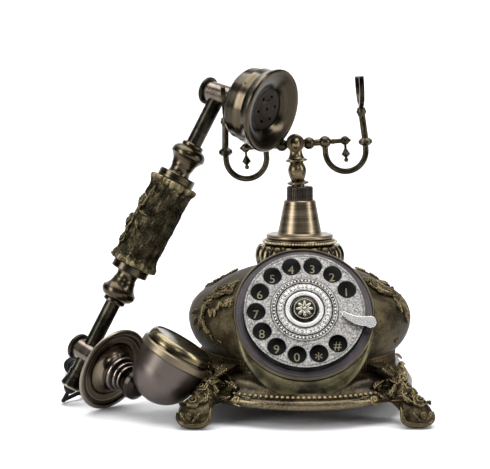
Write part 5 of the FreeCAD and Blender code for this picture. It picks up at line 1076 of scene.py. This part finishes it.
SLEEVE_SPRAY = [(ROSE, (-119.0, -6.0, 128.0), 6.0, 0, 0.8), (ROSE, (-110.0, -10.0, 143.0), 5.2, 90, 0.8),
                (ROSE, (-120.0, -8.0, 116.0), 4.4, 40, 0.8), (LEAF, (-114.0, -12.0, 136.0), 4.6, -30, 0.9),
                (LEAF, (-119.0, -8.0, 121.0), 4.4, 160, 0.9), (LEAF, (-108.0, -17.0, 134.0), 4.4, -120, 0.9),
                (LEAF, (-102.0, -14.0, 149.0), 4.4, -20, 0.9), (LEAF, (-110.0, -14.0, 124.0), 4.0, -150, 0.9)]
castings = [bark_sleeve()]
sleeve_surface = surface_of(castings[0])
castings += [laid_on(blank, sleeve_surface, *rest) for blank, *rest in SLEEVE_SPRAY]
bark_resin = patina("bark_resin", 0.6, 0.5,
                    ((0.007, 0.006, 0.0034), (0.022, 0.0185, 0.0105), (0.22, 0.182, 0.10)),
                    (110, 1000, 0.3), (0.26, 0.46), "wear_and_highlight", 0.15)
sleeve = as_one("bark_sleeve", castings, dulled(bark_resin), "handset")
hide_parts("grip_sleeve")


# The mouth piece: the turned boss stands on a wide skirt in the saucer and has three bright steps before its
# neck spreads into the cup, which is closed by a low turned lid with a bevel and a shallow dish. Painted shade
# darkens the boss under its first step, between the steps and all along its neck.
def turned_piece(name, profile, place, around=96):
    """A closed mesh turned about the local Z of place, from radii and heights in millimetres."""
    angles = [2 * math.pi * i / around for i in range(around)]
    points = [place @ (spoke(angle, radius, height) * MM) for radius, height in profile for angle in angles]
    faces = ring_faces(len(profile), around)
    faces += [list(range(around))[::-1], list(range(len(points) - around, len(points)))]
    picked(mark_wear_and_highlight(outline_mesh(name, points, faces), [0.0] * len(points)))
    bpy.ops.object.shade_smooth_by_angle(angle=math.radians(28))
    return bpy.context.active_object


def rounded(radius, low, high, edge):
    """A step of a turned profile with its two corners rounded off."""
    return [(radius - edge, low), (radius - 0.3 * edge, low + 0.3 * edge), (radius, low + edge),
            (radius, high - edge), (radius - 0.3 * edge, high - 0.3 * edge), (radius - edge, high)]


BOSS = [(5.0, 25.4), (17.9, 25.4), (17.9, 26.7), (16.4, 27.1), (14.4, 28.1), (12.9, 29.7), (11.8, 31.6)]
BOSS += rounded(12.7, 32.6, 36.4, 1.2) + [(10.2, 36.8)] + rounded(10.5, 37.2, 39.8, 0.9)
BOSS += [(8.8, 40.1)] + rounded(9.2, 40.4, 42.8, 0.9)
BOSS += [(7.6, 43.0), (8.2, 44.6), (9.6, 47.2), (11.0, 50.2), (10.6, 53.0), (7.0, 55.5)]
# The umber bands are painted shade: under the first step, in the two grooves between the steps, and along the
# neck above the last step.
boss_bronze = lathe("boss_bronze", LOWER, ((0.06, 0.05, 0.042), (0.18, 0.152, 0.13), (0.30, 0.255, 0.22)),
                    (0.15, 0.25), 0.3,
                    [(42.8, 60.0, UMBER, 0.9), (36.4, 37.1, UMBER, 0.85), (39.8, 40.4, UMBER, 0.85),
                     (25.0, 30.2, (0.17, 0.135, 0.09), 0.8), (30.4, 32.2, UMBER, 0.8)])
boss = turned_piece("stepped_boss", BOSS, LOWER)
boss = as_one("stepped_boss", [boss], boss_bronze, "handset")
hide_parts("mouth_boss")

LID = [(15.0, 2.75), (23.6, 2.75), (23.6, 3.4), (23.2, 3.6), (23.2, 4.0), (23.6, 4.3), (23.4, 6.0), (22.6, 8.0)]
LID += [(21.6, 9.4), (21.0, 9.9), (20.4, 9.9), (20.0, 9.5), (19.0, 9.1), (15.0, 8.6), (9.0, 8.3), (1.0, 8.2)]
# The dish inside 20.2 mm is painted a paler grey, a painted reflection.
lid_gold = lathe("lid_gold", CUP, ((0.05, 0.04, 0.022), (0.15, 0.122, 0.07), (0.34, 0.285, 0.18)),
                 (0.18, 0.3), 0.4,
                 [(3.4, 4.1, UMBER, 0.8)], [(0.0, 20.2, (0.24, 0.215, 0.17), 0.75)])
lid = as_one("low_lid", [turned_piece("low_lid", LID, CUP)], lid_gold, "handset")
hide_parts("mouth_lid")


# Small black set-screws sit in the front of the ear cup and in the saucer. They are plain round heads, sunk
# half way into the turned surface.
SCREW_RADIUS, SCREW_HEIGHT = 0.8, 0.8


def set_screw(node, spot):
    centre, normal, _, _ = surface_of(node).find_nearest(Vector(spot) * MM)
    unselected()
    bpy.ops.mesh.primitive_cylinder_add(vertices=16, radius=SCREW_RADIUS * MM, depth=SCREW_HEIGHT * MM)
    screw = bpy.context.active_object
    screw.data.transform(Matrix.Translation(centre) @ normal.to_track_quat("Z", "Y").to_matrix().to_4x4())
    as_one("set_screw", [screw], plastic, "handset")


set_screw("ear_cup_front", (-38.0, -33.7, 221.1))
set_screw("mouth_saucer", (-133.1, -41.4, 30.0))

for blank in (ROSE, LEAF, SCROLL):
    bpy.data.objects.remove(blank)
